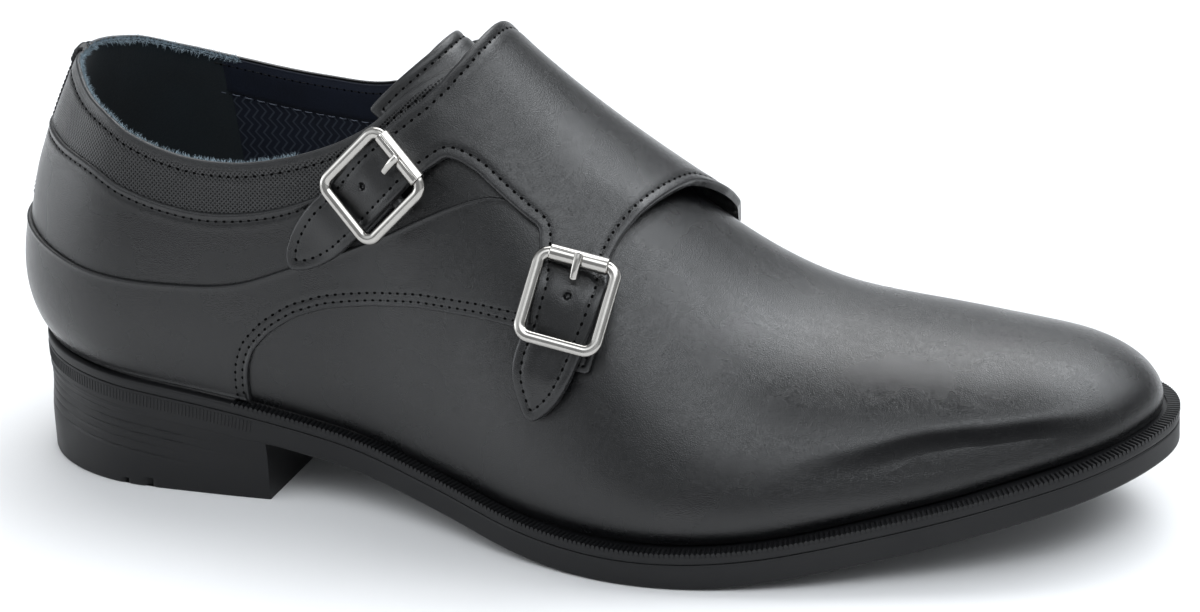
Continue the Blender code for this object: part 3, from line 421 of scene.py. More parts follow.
def theta_at(u, z):
    """Angle at which the last reaches a height at station u."""
    u, z = np.broadcast_arrays(np.asarray(u, float), np.asarray(z, float))
    low, high = np.zeros(u.shape), np.full(u.shape, HALF_PI)
    for _ in range(26):
        mid = (low + high) / 2
        under = last(u, mid)[..., 2] < z
        low, high = np.where(under, mid, low), np.where(under, high, mid)
    return (low + high) / 2


# Two ways of laying a flat pattern on the last: round the side by distance and height,
# and over the instep by x and TOP_SCALE times the angle from the ridge.
TOP_SCALE = 60.0


def lay_side(points):
    """Station and angle of side pattern places."""
    u = u_of_m(points[:, 0])
    return u, theta_at(u, points[:, 1])


def lay_top(points):
    """Station and angle of instep pattern places."""
    angle = points[:, 1] / TOP_SCALE
    side = np.where(angle < 0, OUTER, INNER)
    return u_of_x(points[:, 0], side), HALF_PI - abs(angle)


def top_from_xz(x, z):
    """Instep pattern places from places on the outer wall in side view."""
    u = u_of_x(x, OUTER)
    return np.stack([x, OUTER * (HALF_PI - theta_at(u, z)) * TOP_SCALE], -1)


def outer_wall(x, z):
    """Points of the last on the outer side, from their places in side view."""
    u = u_of_x(x, OUTER)
    return last(u, theta_at(u, z))


# ======== meshes
finishes = {}                   # materials by name


def look():
    """The sizes and colours that the panel shows."""
    return bpy.context.scene.shoe_look


def add_object(name, data):
    """New object at the origin in the scene."""
    obj = bpy.data.objects.new(name, data)
    bpy.context.scene.collection.objects.link(obj)
    return obj


def keep(obj, slot, *nodes):
    """Finished piece: rides on the shoe, takes a slot, stands for the solids named."""
    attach(obj, "root")
    if nodes:
        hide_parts(*nodes)
    return obj


def piece(name, points, faces, finish, smooth_angle, slot, solid, uv=None, rim=None):
    """Finished piece from points in millimetres. Doubles are merged and sharp edges kept."""
    mesh = bpy.data.meshes.new(name)
    mesh.from_pydata([tuple(p) for p in np.asarray(points) * MM], [], [tuple(f) for f in faces])
    if uv is not None:
        layer = mesh.uv_layers.new(name="UVMap")
        corner = np.empty(len(mesh.loops), int)
        mesh.loops.foreach_get("vertex_index", corner)
        layer.data.foreach_set("uv", np.asarray(uv, np.float32)[corner].ravel())
    if rim is not None:
        mesh.attributes.new("rim", "FLOAT", "POINT").data.foreach_set("value", np.asarray(rim, np.float32))
    bm = bmesh.new()
    bm.from_mesh(mesh)
    bmesh.ops.remove_doubles(bm, verts=bm.verts, dist=1e-6)
    bmesh.ops.dissolve_degenerate(bm, edges=bm.edges, dist=1e-7)
    bmesh.ops.recalc_face_normals(bm, faces=bm.faces)
    bm.to_mesh(mesh)
    bm.free()
    mesh.shade_smooth()
    mesh.set_sharp_from_angle(angle=math.radians(smooth_angle))
    mesh.materials.append(finishes[finish])
    return keep(add_object(name, mesh), slot, solid)


def grid_faces(rows, columns, start=0, closed=False):
    """Quads of a rows by columns grid stored row after row."""
    r, c = np.meshgrid(np.arange(rows - 1), np.arange(columns if closed else columns - 1), indexing="ij")
    a = start + r * columns + c
    b = start + r * columns + (c + 1) % columns
    return np.stack([a, b, b + columns, a + columns], -1).reshape(-1, 4)


def inside(points, loop):
    """Which points lie inside a closed loop."""
    hit = np.zeros(len(points), bool)
    a, b = loop, np.roll(loop, -1, 0)
    for (ax, ay), (bx, by) in zip(a, b):
        if ay == by:
            continue
        cross = (ay > points[:, 1]) != (by > points[:, 1])
        hit ^= cross & (points[:, 0] < (bx - ax) * (points[:, 1] - ay) / (by - ay) + ax)
    return hit


def nearest(points, others):
    """Distance of each point from the nearest of the others, in the plane or in space."""
    tree = KDTree(len(others))
    for k, p in enumerate(others):
        tree.insert((*p, 0.0)[:3], k)
    tree.balance()
    return np.array([tree.find((*p, 0.0)[:3])[2] for p in points])


def distance(points, line):
    """Distance of each point from a line through the given points."""
    return nearest(points, even(line, 0.2))


def stretch(line, normal, lay):
    """How far the laid surface goes for one unit of pattern, along each normal."""
    return np.maximum(np.linalg.norm(last(*lay(line + normal * 0.2)) - last(*lay(line)), axis=1) / 0.2, 0.05)


def inward(loop):
    """Unit normals of a closed loop, pointing in."""
    turn = np.roll(loop, -1, 0) - np.roll(loop, 1, 0)
    normal = np.c_[-turn[:, 1], turn[:, 0]] / np.maximum(np.linalg.norm(turn, axis=1), 1e-9)[:, None]
    area = (loop[:, 0] * np.roll(loop[:, 1], -1) - np.roll(loop[:, 0], -1) * loop[:, 1]).sum()
    return normal if area > 0 else -normal


def inset_line(loop, gap, lay):
    """Loop drawn in by a real gap, without the points that come too near another edge."""
    normal = inward(loop)
    ring = ring_of(last(*lay(loop)))
    step = gap / stretch(loop, normal, lay)
    for _ in range(2):
        off = distance(last(*lay(loop + normal * step[:, None])), ring)
        step *= np.clip(gap / np.maximum(off, 0.1), 0.85, 1.2)
    line = loop + normal * step[:, None]
    return line[distance(last(*lay(line)), ring) > gap * 0.93]


def beside(line, gap, lay):
    """Open line moved sideways, to its left where the gap is plus."""
    run = unit(np.gradient(line, axis=0))
    normal = np.c_[-run[:, 1], run[:, 0]] * (1 if gap > 0 else -1)
    return line + normal * (abs(gap) / stretch(line, normal, lay))[:, None]


# rows of points over a rolled edge of radius RIM_ROLL, by distance from the cut, and rows inside it
RIM, RIM_ROLL, INNER_ROWS = np.array([0.0, 0.06, 0.16, 0.32, 0.55, 0.85]), 0.6, (1.1, 1.6, 2.2)
# rows of points beside a seam, in widths of it
SEAM_ROWS = (-1.9, -0.9, -0.45, 0.45, 0.9, 1.9)
ROW_HIGH = 0.866                # height of a row of even triangles, against their side


def fill(loop, pitch, extra=None):
    """Triangles between a loop and an even grid inside it. Returns points and faces.

    The extra points take the place of the grid's near them. Those that nearly meet are thinned first.
    """
    merge, clear_of_loop = 0.16, 0.15
    low, high = loop.min(0), loop.max(0)
    gx, gy = np.meshgrid(np.arange(low[0], high[0], pitch), np.arange(low[1], high[1], pitch * ROW_HIGH))
    gx[1::2] += pitch / 2
    inner = np.c_[gx.ravel(), gy.ravel()]
    inner = inner[inside(inner, loop)]
    closed = ring_of(loop)
    inner = inner[distance(inner, closed) > pitch * 0.6]
    if extra is not None and len(extra):
        _, first = np.unique(np.round(extra / merge), axis=0, return_index=True)
        extra = extra[np.sort(first)]
        extra = extra[inside(extra, loop)]
        extra = extra[distance(extra, closed) > clear_of_loop]
        inner = np.vstack([inner[nearest(inner, extra) > pitch * 0.55], extra])
    points = np.vstack([loop, inner])
    n = len(loop)
    made = delaunay_2d_cdt([Vector(p) for p in points], [(i, (i + 1) % n) for i in range(n)], [], 1, 1e-5)
    return np.array([tuple(v) for v in made[0]]), [tuple(f) for f in made[2]]


def cut_piece(name, outline, lay, lift, thick, finish, slot, solid, pitch=0.8, roll=0.6, seams=(),
              face_in=False, rim_width=0.7, dents=None, dense=None):
    """Leather cut to an outline and laid on the last, with rolled edges and seams pulled down.

    lift gives the height of its face over the last. Each seam is a pattern line with its depth and
    width. dents gives more depth from the place in space, and dense more points of the pattern.
    """
    loop = even(outline, min(pitch, 0.55), True)
    n = len(loop)
    normal = inward(loop)
    scale = stretch(loop, normal, lay)[:, None]
    rings = [loop + normal * (r * roll / RIM_ROLL) / scale for r in RIM]
    extra = [np.zeros((0, 2)) if dense is None else dense]
    for line, _, width in seams:
        line = even(line, 0.5)
        extra += [beside(line, off * width, lay) for off in SEAM_ROWS] + [line]
    extra += [inset_line(loop, off * roll / RIM_ROLL, lay) for off in INNER_ROWS]
    core, faces = fill(rings[-1], pitch, np.vstack(extra))
    flat = np.vstack(rings[:-1] + [core])
    roll_rows = len(RIM) - 1
    faces = [tuple(i + n * roll_rows for i in f) for f in faces]
    for k in range(roll_rows):
        faces += [tuple(f) for f in grid_faces(2, n, k * n, True)]
    u, theta = lay(flat)
    spot = last(u, theta)
    edge = distance(spot, ring_of(last(*lay(loop))))
    edge[:n * roll_rows] = np.repeat(RIM[:-1] * roll / RIM_ROLL, n)
    drop = roll - np.sqrt(np.maximum(roll**2 - np.clip(roll - edge, 0, roll)**2, 0))
    drop = drop * min(1.0, abs(thick) / roll)
    sink, swell = np.zeros(len(flat)), np.zeros(len(flat))
    for line, depth, width in seams:
        gap = distance(spot, last(*lay(even(line, 0.4))))
        sink = np.maximum(sink, depth * hump(gap, width))
        swell = np.maximum(swell, 0.45 * depth * hump(gap - 3.2 * width, 2.0 * width))
    sink -= swell * ease(0.1, 0.6, edge)
    if dents is not None:
        sink += dents(spot)
    sign = -1 if face_in else 1
    top = skin(u, theta, lift(flat, edge) - sign * (drop + sink))
    base, base_faces = fill(loop, pitch * 2.6)
    under = skin(*lay(base), lift(base, np.full(len(base), 1.0)) - thick)
    start = len(flat)
    faces = [f[::-1] for f in faces] if face_in else faces
    faces += [tuple(i + start for i in f[::-1]) for f in base_faces]
    faces += [(i, start + i, start + (i + 1) % n, (i + 1) % n) for i in range(n)]
    rim = np.r_[np.exp(-edge / rim_width), np.ones(len(base))]
    points, uv = np.vstack([top, under]), np.vstack([flat, base]) / 10
    return piece(name, points, faces, finish, 60, slot, solid, uv, rim)


def on_face(line, lay, lift, drop=0.0, pitch=0.5, face_in=False):
    """Points of a pattern line on a piece's face, with the way out of the leather."""
    flat = even(line, pitch)
    u, theta = lay(flat)
    normal = last_normal(u, theta)
    out = normal * (-1 if face_in else 1)
    return last(u, theta) + normal * lift(flat, np.full(len(flat), 3.0))[:, None] - out * drop, out


def sew(name, guides, slot="black_leather", pitch=None, thread=None, hole=0.36, length=0.72,
        finish="Waxed thread"):
    """Row or rows of stitches along guides on a face."""
    pitch = pitch or look().stitch_pitch / MM
    thread = thread or look().thread / MM
    return repeat(name, stitch_tree, guides, slot, Pitch=pitch * MM, Length=pitch * length * MM,
                  Thread=thread * MM, Hole=hole * MM, Thread_material=finishes[finish],
                  Hole_material=finishes["Needle hole shade"])


# ======== node trees
def node(tree, kind, inputs=None, **settings):
    """Adds a node. inputs maps a socket to a value or to the socket that feeds it."""
    made = tree.nodes.new(kind)
    for key, value in settings.items():
        setattr(made, key, value)
    for key, value in (inputs or {}).items():
        if isinstance(value, bpy.types.NodeSocket):
            tree.links.new(value, made.inputs[key])
        else:
            made.inputs[key].default_value = value
    return made


def put(tree, kind, inputs=None, **settings):
    """Adds a node and gives its first output."""
    return node(tree, kind, inputs, **settings).outputs[0]


def calc(tree, operation, *values):
    """Result of a maths node."""
    return put(tree, "ShaderNodeMath", dict(enumerate(values)), operation=operation)


def start_tree(name, rows):
    """New tree on guide lines, and its named inputs. Each row is name, kind of socket and default."""
    tree = bpy.data.node_groups.new(name, "GeometryNodeTree")
    for key, kind, default in [("Geometry", "Geometry", None), *rows]:
        made = tree.interface.new_socket(name=key, in_out="INPUT", socket_type="NodeSocket" + kind)
        if default is not None:
            made.default_value = default
    tree.interface.new_socket(name="Geometry", in_out="OUTPUT", socket_type="NodeSocketGeometry")
    return tree, node(tree, "NodeGroupInput").outputs


def guide_points(tree, given, pitch):
    """The guide lines in even steps, and the way out of the leather along them."""
    curve = put(tree, "GeometryNodeMeshToCurve", {"Mesh": given["Geometry"]})
    points = put(tree, "GeometryNodeResampleCurve", {"Curve": curve, "Length": pitch}, mode="LENGTH")
    up = put(tree, "GeometryNodeInputNamedAttribute", {"Name": "up"}, data_type="FLOAT_VECTOR")
    return points, up


def turned_along(tree, up):
    """Rotation with X along a guide line and Z out of the leather."""
    along_line = put(tree, "GeometryNodeInputTangent")
    first = put(tree, "FunctionNodeAlignRotationToVector", {"Vector": along_line}, axis="X")
    return put(tree, "FunctionNodeAlignRotationToVector", {"Rotation": first, "Vector": up},
               axis="Z", pivot_axis="X")


def on_points(tree, points, shape, turn, finish, **more):
    """Real copies of a shape on points, in a finish."""
    placed = put(tree, "GeometryNodeInstanceOnPoints",
                 {"Points": points, "Instance": shape, "Rotation": turn, **more})
    real = put(tree, "GeometryNodeRealizeInstances", {"Geometry": placed})
    return put(tree, "GeometryNodeSetMaterial", {"Geometry": real, "Material": finish})


def stitch_tree():
    """Bent lengths of thread along a guide line, with the holes between them."""
    tree, given = start_tree("Stitch row", [
        ("Pitch", "Float", 0.0024), ("Length", "Float", 0.0018), ("Thread", "Float", 0.0003),
        ("Hole", "Float", 0.0003), ("Thread material", "Material", None),
        ("Hole material", "Material", None)])
    points, up = guide_points(tree, given, calc(tree, "MULTIPLY", given["Pitch"], 0.5))
    turn = turned_along(tree, up)
    odd = calc(tree, "MODULO", put(tree, "GeometryNodeInputIndex"), 2.0)
    end = calc(tree, "MULTIPLY", given["Length"], 0.5)
    sunk = calc(tree, "MULTIPLY", given["Thread"], -1.1)
    crest = calc(tree, "MULTIPLY", given["Thread"], 0.5)
    start = put(tree, "ShaderNodeCombineXYZ", {"X": calc(tree, "MULTIPLY", end, -1.0), "Z": sunk})
    middle = put(tree, "ShaderNodeCombineXYZ", {"Z": crest})
    stop = put(tree, "ShaderNodeCombineXYZ", {"X": end, "Z": sunk})
    bend = put(tree, "GeometryNodeCurveQuadraticBezier",
               {"Resolution": 5, "Start": start, "Middle": middle, "End": stop})
    circle = put(tree, "GeometryNodeCurvePrimitiveCircle", {"Resolution": 6, "Radius": crest})
    thread = put(tree, "GeometryNodeCurveToMesh", {"Curve": bend, "Profile Curve": circle, "Fill Caps": True})
    pit = put(tree, "GeometryNodeMeshUVSphere", {"Segments": 8, "Rings": 4, "Radius": given["Hole"]})
    flat_pit = put(tree, "GeometryNodeTransform", {"Geometry": pit, "Scale": (1.2, 0.95, 0.28)})
    join = node(tree, "GeometryNodeJoinGeometry")
    for shape, which, finish in ((thread, "LESS_THAN", "Thread material"),
                                 (flat_pit, "GREATER_THAN", "Hole material")):
        made = on_points(tree, points, shape, turn, given[finish], Selection=calc(tree, which, odd, 0.5))
        tree.links.new(made, join.inputs[0])
    node(tree, "NodeGroupOutput", {0: join.outputs[0]})
    return tree


def rib_tree():
    """Low flat-topped ribs laid across a guide line."""
    tree, given = start_tree("Ribs along an edge", [
        ("Pitch", "Float", 0.0012), ("Width", "Float", 0.0008), ("Height", "Float", 0.0008),
        ("Length", "Float", 0.0024), ("Material", "Material", None)])
    points, up = guide_points(tree, given, given["Pitch"])
    bar = put(tree, "GeometryNodeMeshCylinder", {"Vertices": 8, "Radius": 0.54, "Depth": given["Length"]})
    eighth = put(tree, "GeometryNodeTransform", {"Geometry": bar, "Rotation": (0.0, 0.0, math.pi / 8)})
    size = put(tree, "ShaderNodeCombineXYZ", {"X": given["Width"], "Y": given["Height"], "Z": 1.0})
    rib = put(tree, "GeometryNodeTransform",
              {"Geometry": eighth, "Rotation": (HALF_PI, 0.0, 0.0), "Scale": size})
    turn = turned_along(tree, up)
    node(tree, "NodeGroupOutput", {0: on_points(tree, points, rib, turn, given["Material"])})
    return tree


def fibre_tree():
    """Short fibres standing on a guide line, each turned and sized at random."""
    tree, given = start_tree("Suede fibres", [
        ("Pitch", "Float", 0.0002), ("Length", "Float", 0.0012), ("Thickness", "Float", 0.00006),
        ("Seed", "Int", 3), ("Material", "Material", None)])
    points, up = guide_points(tree, given, given["Pitch"])
    stray = put(tree, "FunctionNodeRandomValue",
                {0: (-1, -1, -1), 1: (1, 1, 1), "Seed": given["Seed"]}, data_type="FLOAT_VECTOR")
    lean = put(tree, "ShaderNodeVectorMath", {0: stray, "Scale": 0.9}, operation="SCALE")
    way = put(tree, "ShaderNodeVectorMath", {0: up, 1: lean}, operation="ADD")
    turn = put(tree, "FunctionNodeAlignRotationToVector", {"Vector": way}, axis="Z")
    size = node(tree, "FunctionNodeRandomValue", {2: 0.35, 3: 1.0, "Seed": given["Seed"]}, data_type="FLOAT")
    fibre = put(tree, "GeometryNodeMeshCone",
                {"Vertices": 3, "Radius Top": 0.00001, "Radius Bottom": given["Thickness"],
                 "Depth": given["Length"]})
    made = on_points(tree, points, fibre, turn, given["Material"], Scale=size.outputs[1])
    node(tree, "NodeGroupOutput", {0: made})
    return tree


trees = {}


def repeat(name, maker, guides, slot, **inputs):
    """Runs a node tree on guide lines, each points and outward directions, and keeps the plain mesh."""
    if maker not in trees:
        trees[maker] = maker()
    tree = trees[maker]
    edges, start = [], 0
    for line, _ in guides:
        edges += [(start + i, start + i + 1) for i in range(len(line) - 1)]
        start += len(line)
    mesh = bpy.data.meshes.new(name)
    mesh.from_pydata([tuple(p) for p in np.vstack([line for line, _ in guides]) * MM], edges, [])
    ups = np.vstack([up for _, up in guides]).astype(np.float32)
    mesh.attributes.new("up", "FLOAT_VECTOR", "POINT").data.foreach_set("vector", ups.ravel())
    holder = add_object(name + "_guide", mesh)
    mod = holder.modifiers.new("repeat", "NODES")
    mod.node_group = tree
    ids = {item.name: item.identifier for item in tree.interface.items_tree if item.in_out == "INPUT"}
    for key, value in inputs.items():
        mod[ids[key.replace("_", " ")]] = value
    bpy.context.view_layer.update()
    depsgraph = bpy.context.evaluated_depsgraph_get()
    made = bpy.data.meshes.new_from_object(holder.evaluated_get(depsgraph))
    bpy.data.objects.remove(holder)
    made.name = name
    made.shade_smooth()
    made.set_sharp_from_angle(angle=math.radians(50))
    return keep(add_object(name, made), slot)


# ======== finishes
def shader(name, **values):
    """New material and its tree. The values are set on the surface shader's own sockets."""
    mat = bpy.data.materials.new(name)
    mat.use_nodes = True
    surface = mat.node_tree.nodes["Principled BSDF"]
    for key, value in values.items():
        surface.inputs[key.replace("_", " ")].default_value = value
    finishes[name] = mat
    return mat.node_tree, surface


def feed(tree, surface, **sources):
    """Leads sockets to the surface shader's own sockets."""
    for key, source in sources.items():
        tree.links.new(source, surface.inputs[key.replace("_", " ")])


def raised(tree, surface, height, strength, depth):
    """Fine relief from a height."""
    bump = node(tree, "ShaderNodeBump", {"Height": height, "Strength": strength, "Distance": depth})
    feed(tree, surface, Normal=bump.outputs[0])


def ramp(tree, value, low, high, to_low=0.0, to_high=1.0):
    """A value brought from one range to another and held at its ends."""
    return put(tree, "ShaderNodeMapRange",
               {"Value": value, "From Min": low, "From Max": high, "To Min": to_low, "To Max": to_high})


def sum_of(tree, a, b, share=1.0):
    """a and a share of b."""
    return calc(tree, "MULTIPLY_ADD", b, share, a)


def noise(tree, scale, detail=2.0, out=0):
    """Noise that stays with the piece. Output 0 is its value and 1 its colour."""
    place = node(tree, "ShaderNodeTexCoord").outputs["Object"]
    return node(tree, "ShaderNodeTexNoise", {"Vector": place, "Scale": scale, "Detail": detail}).outputs[out]


def blend(tree, share, low, high):
    """Colour between two, each a colour or a socket."""
    low, high = (v if isinstance(v, bpy.types.NodeSocket) else (*v, 1.0) for v in (low, high))
    return node(tree, "ShaderNodeMix", {"Factor": share, 6: low, 7: high}, data_type="RGBA").outputs[2]


def shade_of(colour, share):
    """A colour darkened, or lightened by a share over 1."""
    return tuple(share * v for v in colour)


def leather_finish(name, colour, gloss, grain, pinholes=False):
    """Smooth dressed leather: fine crinkled grain, slow change of gloss, paler cut edges."""
    # paler colour for the cut edges: partly worn edge, partly a painted highlight along the rolled edge
    edge_colour = tuple(min(1, 2.0 * v + 0.006) for v in look().leather)
    tree, surface = shader(name, IOR=1.48, Coat_Weight=0.1, Coat_Roughness=0.2)
    place = node(tree, "ShaderNodeTexCoord").outputs["Object"]
    shifted = put(tree, "ShaderNodeVectorMath", {0: noise(tree, 260.0, out=1), 1: (0.0016,) * 3, 2: place},
                  operation="MULTIPLY_ADD")
    cells = node(tree, "ShaderNodeTexVoronoi", {"Vector": shifted, "Scale": grain},
                 feature="DISTANCE_TO_EDGE").outputs["Distance"]
    height = sum_of(tree, ramp(tree, cells, 0.0, 0.25), noise(tree, grain * 1.3), 1.8)
    height = sum_of(tree, height, noise(tree, 420.0, 3.0), 1.2)
    # above 0 this is a cut edge, paler partly from wear and partly as a painted highlight; below 0 a crease
    # whose gloss is turned down as painted shade
    base = node(tree, "ShaderNodeAttribute", attribute_name="rim").outputs["Fac"]
    wear_and_painted_light = blend(tree, base, colour, edge_colour)
    if pinholes:
        flat = node(tree, "ShaderNodeTexCoord").outputs["UV"]
        turned = put(tree, "ShaderNodeMapping", {"Vector": flat, "Rotation": (0, 0, math.pi / 4)})
        dots = node(tree, "ShaderNodeTexVoronoi", {"Vector": turned, "Scale": 12.5, "Randomness": 0.0},
                    voronoi_dimensions="2D").outputs["Distance"]
        # pinholes painted darker and less glossy: painted shade in the pits, with a real dent in the relief
        pit = calc(tree, "MAXIMUM", ramp(tree, dots, 0.20, 0.42), ramp(tree, base, 0.12, 0.24))
        height = sum_of(tree, height, pit, 12.0)
        wear_and_painted_light = blend(tree, pit, shade_of(colour, 0.25), wear_and_painted_light)
        shine = ramp(tree, pit, 0.0, 1.0, 0.12, 0.5)
    else:
        # gloss turned down in the creases: painted shade
        shine = ramp(tree, base, -1.0, 0.0, 0.10, 0.5)
    raised(tree, surface, height, 0.5, 0.00005)
    feed(tree, surface, Base_Color=wear_and_painted_light, Specular_IOR_Level=shine,
         Roughness=ramp(tree, noise(tree, 55.0, 3.0), 0.3, 0.7, gloss - 0.04, gloss + 0.06))


def herringbone(tree):
    """Share of light thread in a woven zigzag, from the cloth's own flat measure."""
    flat = node(tree, "ShaderNodeTexCoord").outputs["UV"]
    parts = node(tree, "ShaderNodeSeparateXYZ", {0: flat}).outputs
    slant = sum_of(tree, parts[0], calc(tree, "PINGPONG", parts[1], 0.215), 0.87)
    return ramp(tree, calc(tree, "FRACT", calc(tree, "DIVIDE", slant, 0.235)), 0.22, 0.30, 1.0, 0.0)


def speckled(name, scale, detail, low, high, **values):
    """Finish between two colours in one noise."""
    tree, surface = shader(name, **values)
    speck = noise(tree, scale, detail)
    feed(tree, surface, Base_Color=blend(tree, speck, low, high))
    return tree, surface, speck


def rubber_finish(name, rough):
    """Matt rubber with fine pores."""
    tree, surface = shader(name, IOR=1.42, Specular_IOR_Level=0.4)
    raised(tree, surface, noise(tree, 2600.0, 4.0), 0.35, 0.00006)
    wide, rubber = noise(tree, 70.0, 3.0), look().rubber
    feed(tree, surface, Base_Color=blend(tree, wide, shade_of(rubber, 0.8), shade_of(rubber, 1.4)),
         Roughness=ramp(tree, wide, 0.3, 0.7, rough - 0.05, rough + 0.1))


def cloth_finish(name, colour, rough):
    """Matt finish with a nap: suede, lining leather, cloth or thread."""
    suede = "uede" in name
    tree, surface = shader(name, Sheen_Weight=0.15 if suede else 0.05, Sheen_Roughness=0.5)
    nap, wide = noise(tree, 2200.0, 4.0), noise(tree, 90.0, 3.0)
    raised(tree, surface, nap, 0.6, 0.0001)
    patches = sum_of(tree, wide, nap, 0.6) if suede else wide
    shade = blend(tree, patches, shade_of(colour, 0.5), shade_of(colour, 1.7))
    if name == "Woven lining":
        shade = blend(tree, herringbone(tree), shade, (0.045, 0.056, 0.078))
    feed(tree, surface, Base_Color=shade,
         Roughness=ramp(tree, nap, 0.3, 0.7, rough - 0.08, min(rough + 0.05, 1.0)))


def make_finishes():
    """Every finish of the shoe, and the floor's."""
    leather, gloss, metal = tuple(look().leather), look().gloss, look().metal
    leather_finish("Black calf", leather, gloss, 2200.0)
    leather_finish("Strap calf", leather, gloss, 2000.0)
    leather_finish("Collar calf", tuple(v + 0.010 for v in leather), gloss + 0.03, 2000.0, pinholes=True)
    leather_finish("Tongue calf", leather, gloss + 0.06, 1800.0)
    tree, surface, ply = speckled("Waxed thread", 6000.0, 2.0, (0.002, 0.002, 0.0022), (0.010, 0.010, 0.0105),
                                  Roughness=0.7, Specular_IOR_Level=0.3)
    raised(tree, surface, ply, 0.4, 0.00005)
    # near-black matt discs: painted shade in the needle holes
    speckled("Needle hole shade", 3000.0, 2.0, (0.001, 0.001, 0.001), (0.004, 0.004, 0.004),
             Roughness=1.0, Specular_IOR_Level=0.0)
    rubber_finish("Sole rubber", 0.46)
    rubber_finish("Welt rubber", 0.44)
    cloth_finish("Heel suede", look().suede, 0.95)
    cloth_finish("Suede fibre", (0.150, 0.195, 0.225), 0.9)
    cloth_finish("Lining calf", look().lining, 0.6)
    cloth_finish("Woven lining", look().lining, 0.7)
    cloth_finish("Blue thread", (0.10, 0.115, 0.15), 0.7)
    cloth_finish("Sock leather", (0.010, 0.013, 0.022), 0.6)
    tree, surface, haze = speckled("Polished nickel", 300.0, 5.0, shade_of(metal, 0.88),
                                   shade_of(metal, 1.12), Metallic=1.0)
    feed(tree, surface, Roughness=ramp(tree, haze, 0.3, 0.7, 0.10, 0.20))
    raised(tree, surface, haze, 0.05, 0.0001)
    speckled("Studio floor", 4.0, 2.0, (0.74, 0.74, 0.743), (0.76, 0.76, 0.763), Roughness=0.7)


# ======== vamp
def even_rows(u, low, high, rows):
    """Angles of evenly spaced rows between two angles, one column per station."""
    theta = low + (high - low) * np.linspace(0, 1, 160)[:, None]
    pts = last(u[None, :], theta)
    run = run_of(pts)
    want = np.linspace(0, 1, rows)
    return np.stack([np.interp(want * run[-1, k], run[:, k], theta[:, k]) for k in range(len(u))], 1)


def shell_grid(name, top, back, finish, slot, solid, uv, joined=None, rim=None):
    """Closed sheet from rows of stations: a fine face and a coarser back of the same width.

    joined tells the columns whose last row meets its mirror image, where no wall stands.
    """
    rows, columns = top.shape[:2]
    rough = back.shape[0]
    start = rows * columns
    far = start + (rough - 1) * columns
    faces = [tuple(f) for f in grid_faces(rows, columns)]
    faces += [tuple(f[::-1]) for f in grid_faces(rough, columns, start)]
    for c in range(columns - 1):
        faces.append((c + 1, c, start + c, start + c + 1))
        if joined is None or not (joined[c] and joined[c + 1]):
            a = (rows - 1) * columns + c
            faces.append((a, a + 1, far + c + 1, far + c))
    for c, flip in ((0, False), (columns - 1, True)):
        ring = [r * columns + c for r in range(rows)] + [start + r * columns + c for r in range(rough)][::-1]
        faces.append(tuple(ring[::-1] if flip else ring))
    points = np.vstack([top.reshape(-1, 3), back.reshape(-1, 3)])
    if rim is not None:
        rim = np.r_[rim.ravel(), np.zeros(rough * columns)]
    return piece(name, points, faces, finish, 60, slot, solid, uv, rim)


def side_creases(u, flat):
    """Troughs that wear has pressed in the vamp, sharp above and easing out below, and how dull they are.

    The first is in millimetres, the second from 0 to 1.
    """
    run = run_of(flat)
    depth, painted_crease_shade = np.zeros(run.shape), np.zeros(run.shape)
    for rows, deep, drop, width, wear_and_painted_light, side in CREASES:
        first, final = rows[0][0], rows[-1][0]
        for c in np.nonzero((u * side > first) & (u * side < final))[0]:
            rising = slice(0, int(np.argmax(flat[:, c, 2])) + 1)
            below = np.interp(along(rows, abs(u[c])), flat[rising, c, 2], run[rising, c]) - run[:, c]
            share = (abs(u[c]) - first) / (final - first)
            shown = ease(0.0, 0.2, share) * (1 - ease(0.50, 1.0, share))
            depth[:, c] += deep * shown * ease(-1.5, drop, below) * (1 - ease(0.7 * drop, width, below))
            # painted shade below the crease, which the finish draws as gloss turned down
            painted_crease_shade[:, c] += wear_and_painted_light * shown**0.6 * ease(-0.6, 1.4, below) * (1 - ease(2.2, 8.5, below))
    return depth, np.minimum(painted_crease_shade, 1.0)


def build_vamp():
    """Front of the upper: one closed sheet from under the panels to the toe, with its creases."""
    pitch, face_rows, back_rows, thick = 0.62, 118, 7, 1.2
    fine = np.linspace(u_of_x(VAMP_BACK, INNER), 3, 400)
    run = abs(at("m", -fine))
    s = np.interp(np.linspace(run[0], run[-1], int((run[-1] - run[0]) / pitch)), run, fine)
    u = np.r_[-s, s[-2::-1]]
    foot = theta_at(u, at("welt", u) + 0.3)
    x = at("foot_x", u)
    waist_x, waist_z = np.array(WAIST_SEAM[4:]).T
    seam = theta_at(u, np.where(x < waist_x[0], waist_z[0] + 3, np.interp(x, waist_x, waist_z + 3)))
    top = seam + (HALF_PI - seam) * ease(VAMP_OPEN, VAMP_CLOSED, x)

    def laid(rows):
        theta = even_rows(u, foot, top, rows)
        wide = np.broadcast_to(u, theta.shape)
        uv = np.stack([at("m", wide), theta * TOP_SCALE], -1).reshape(-1, 2) / 10
        return last(wide, theta), last_normal(wide, theta), uv

    flat, out, uv = laid(face_rows)
    depth, painted_crease_shade = side_creases(u, flat)
    under, under_out, under_uv = laid(back_rows)
    # the creases' painted shade rides on the rim attribute as minus values
    shell_grid("vamp", flat + out * -depth[..., None], under - under_out * thick, "Black calf",
               "black_leather", "upper", np.vstack([uv, under_uv]), joined=x >= VAMP_CLOSED, rim=-painted_crease_shade)


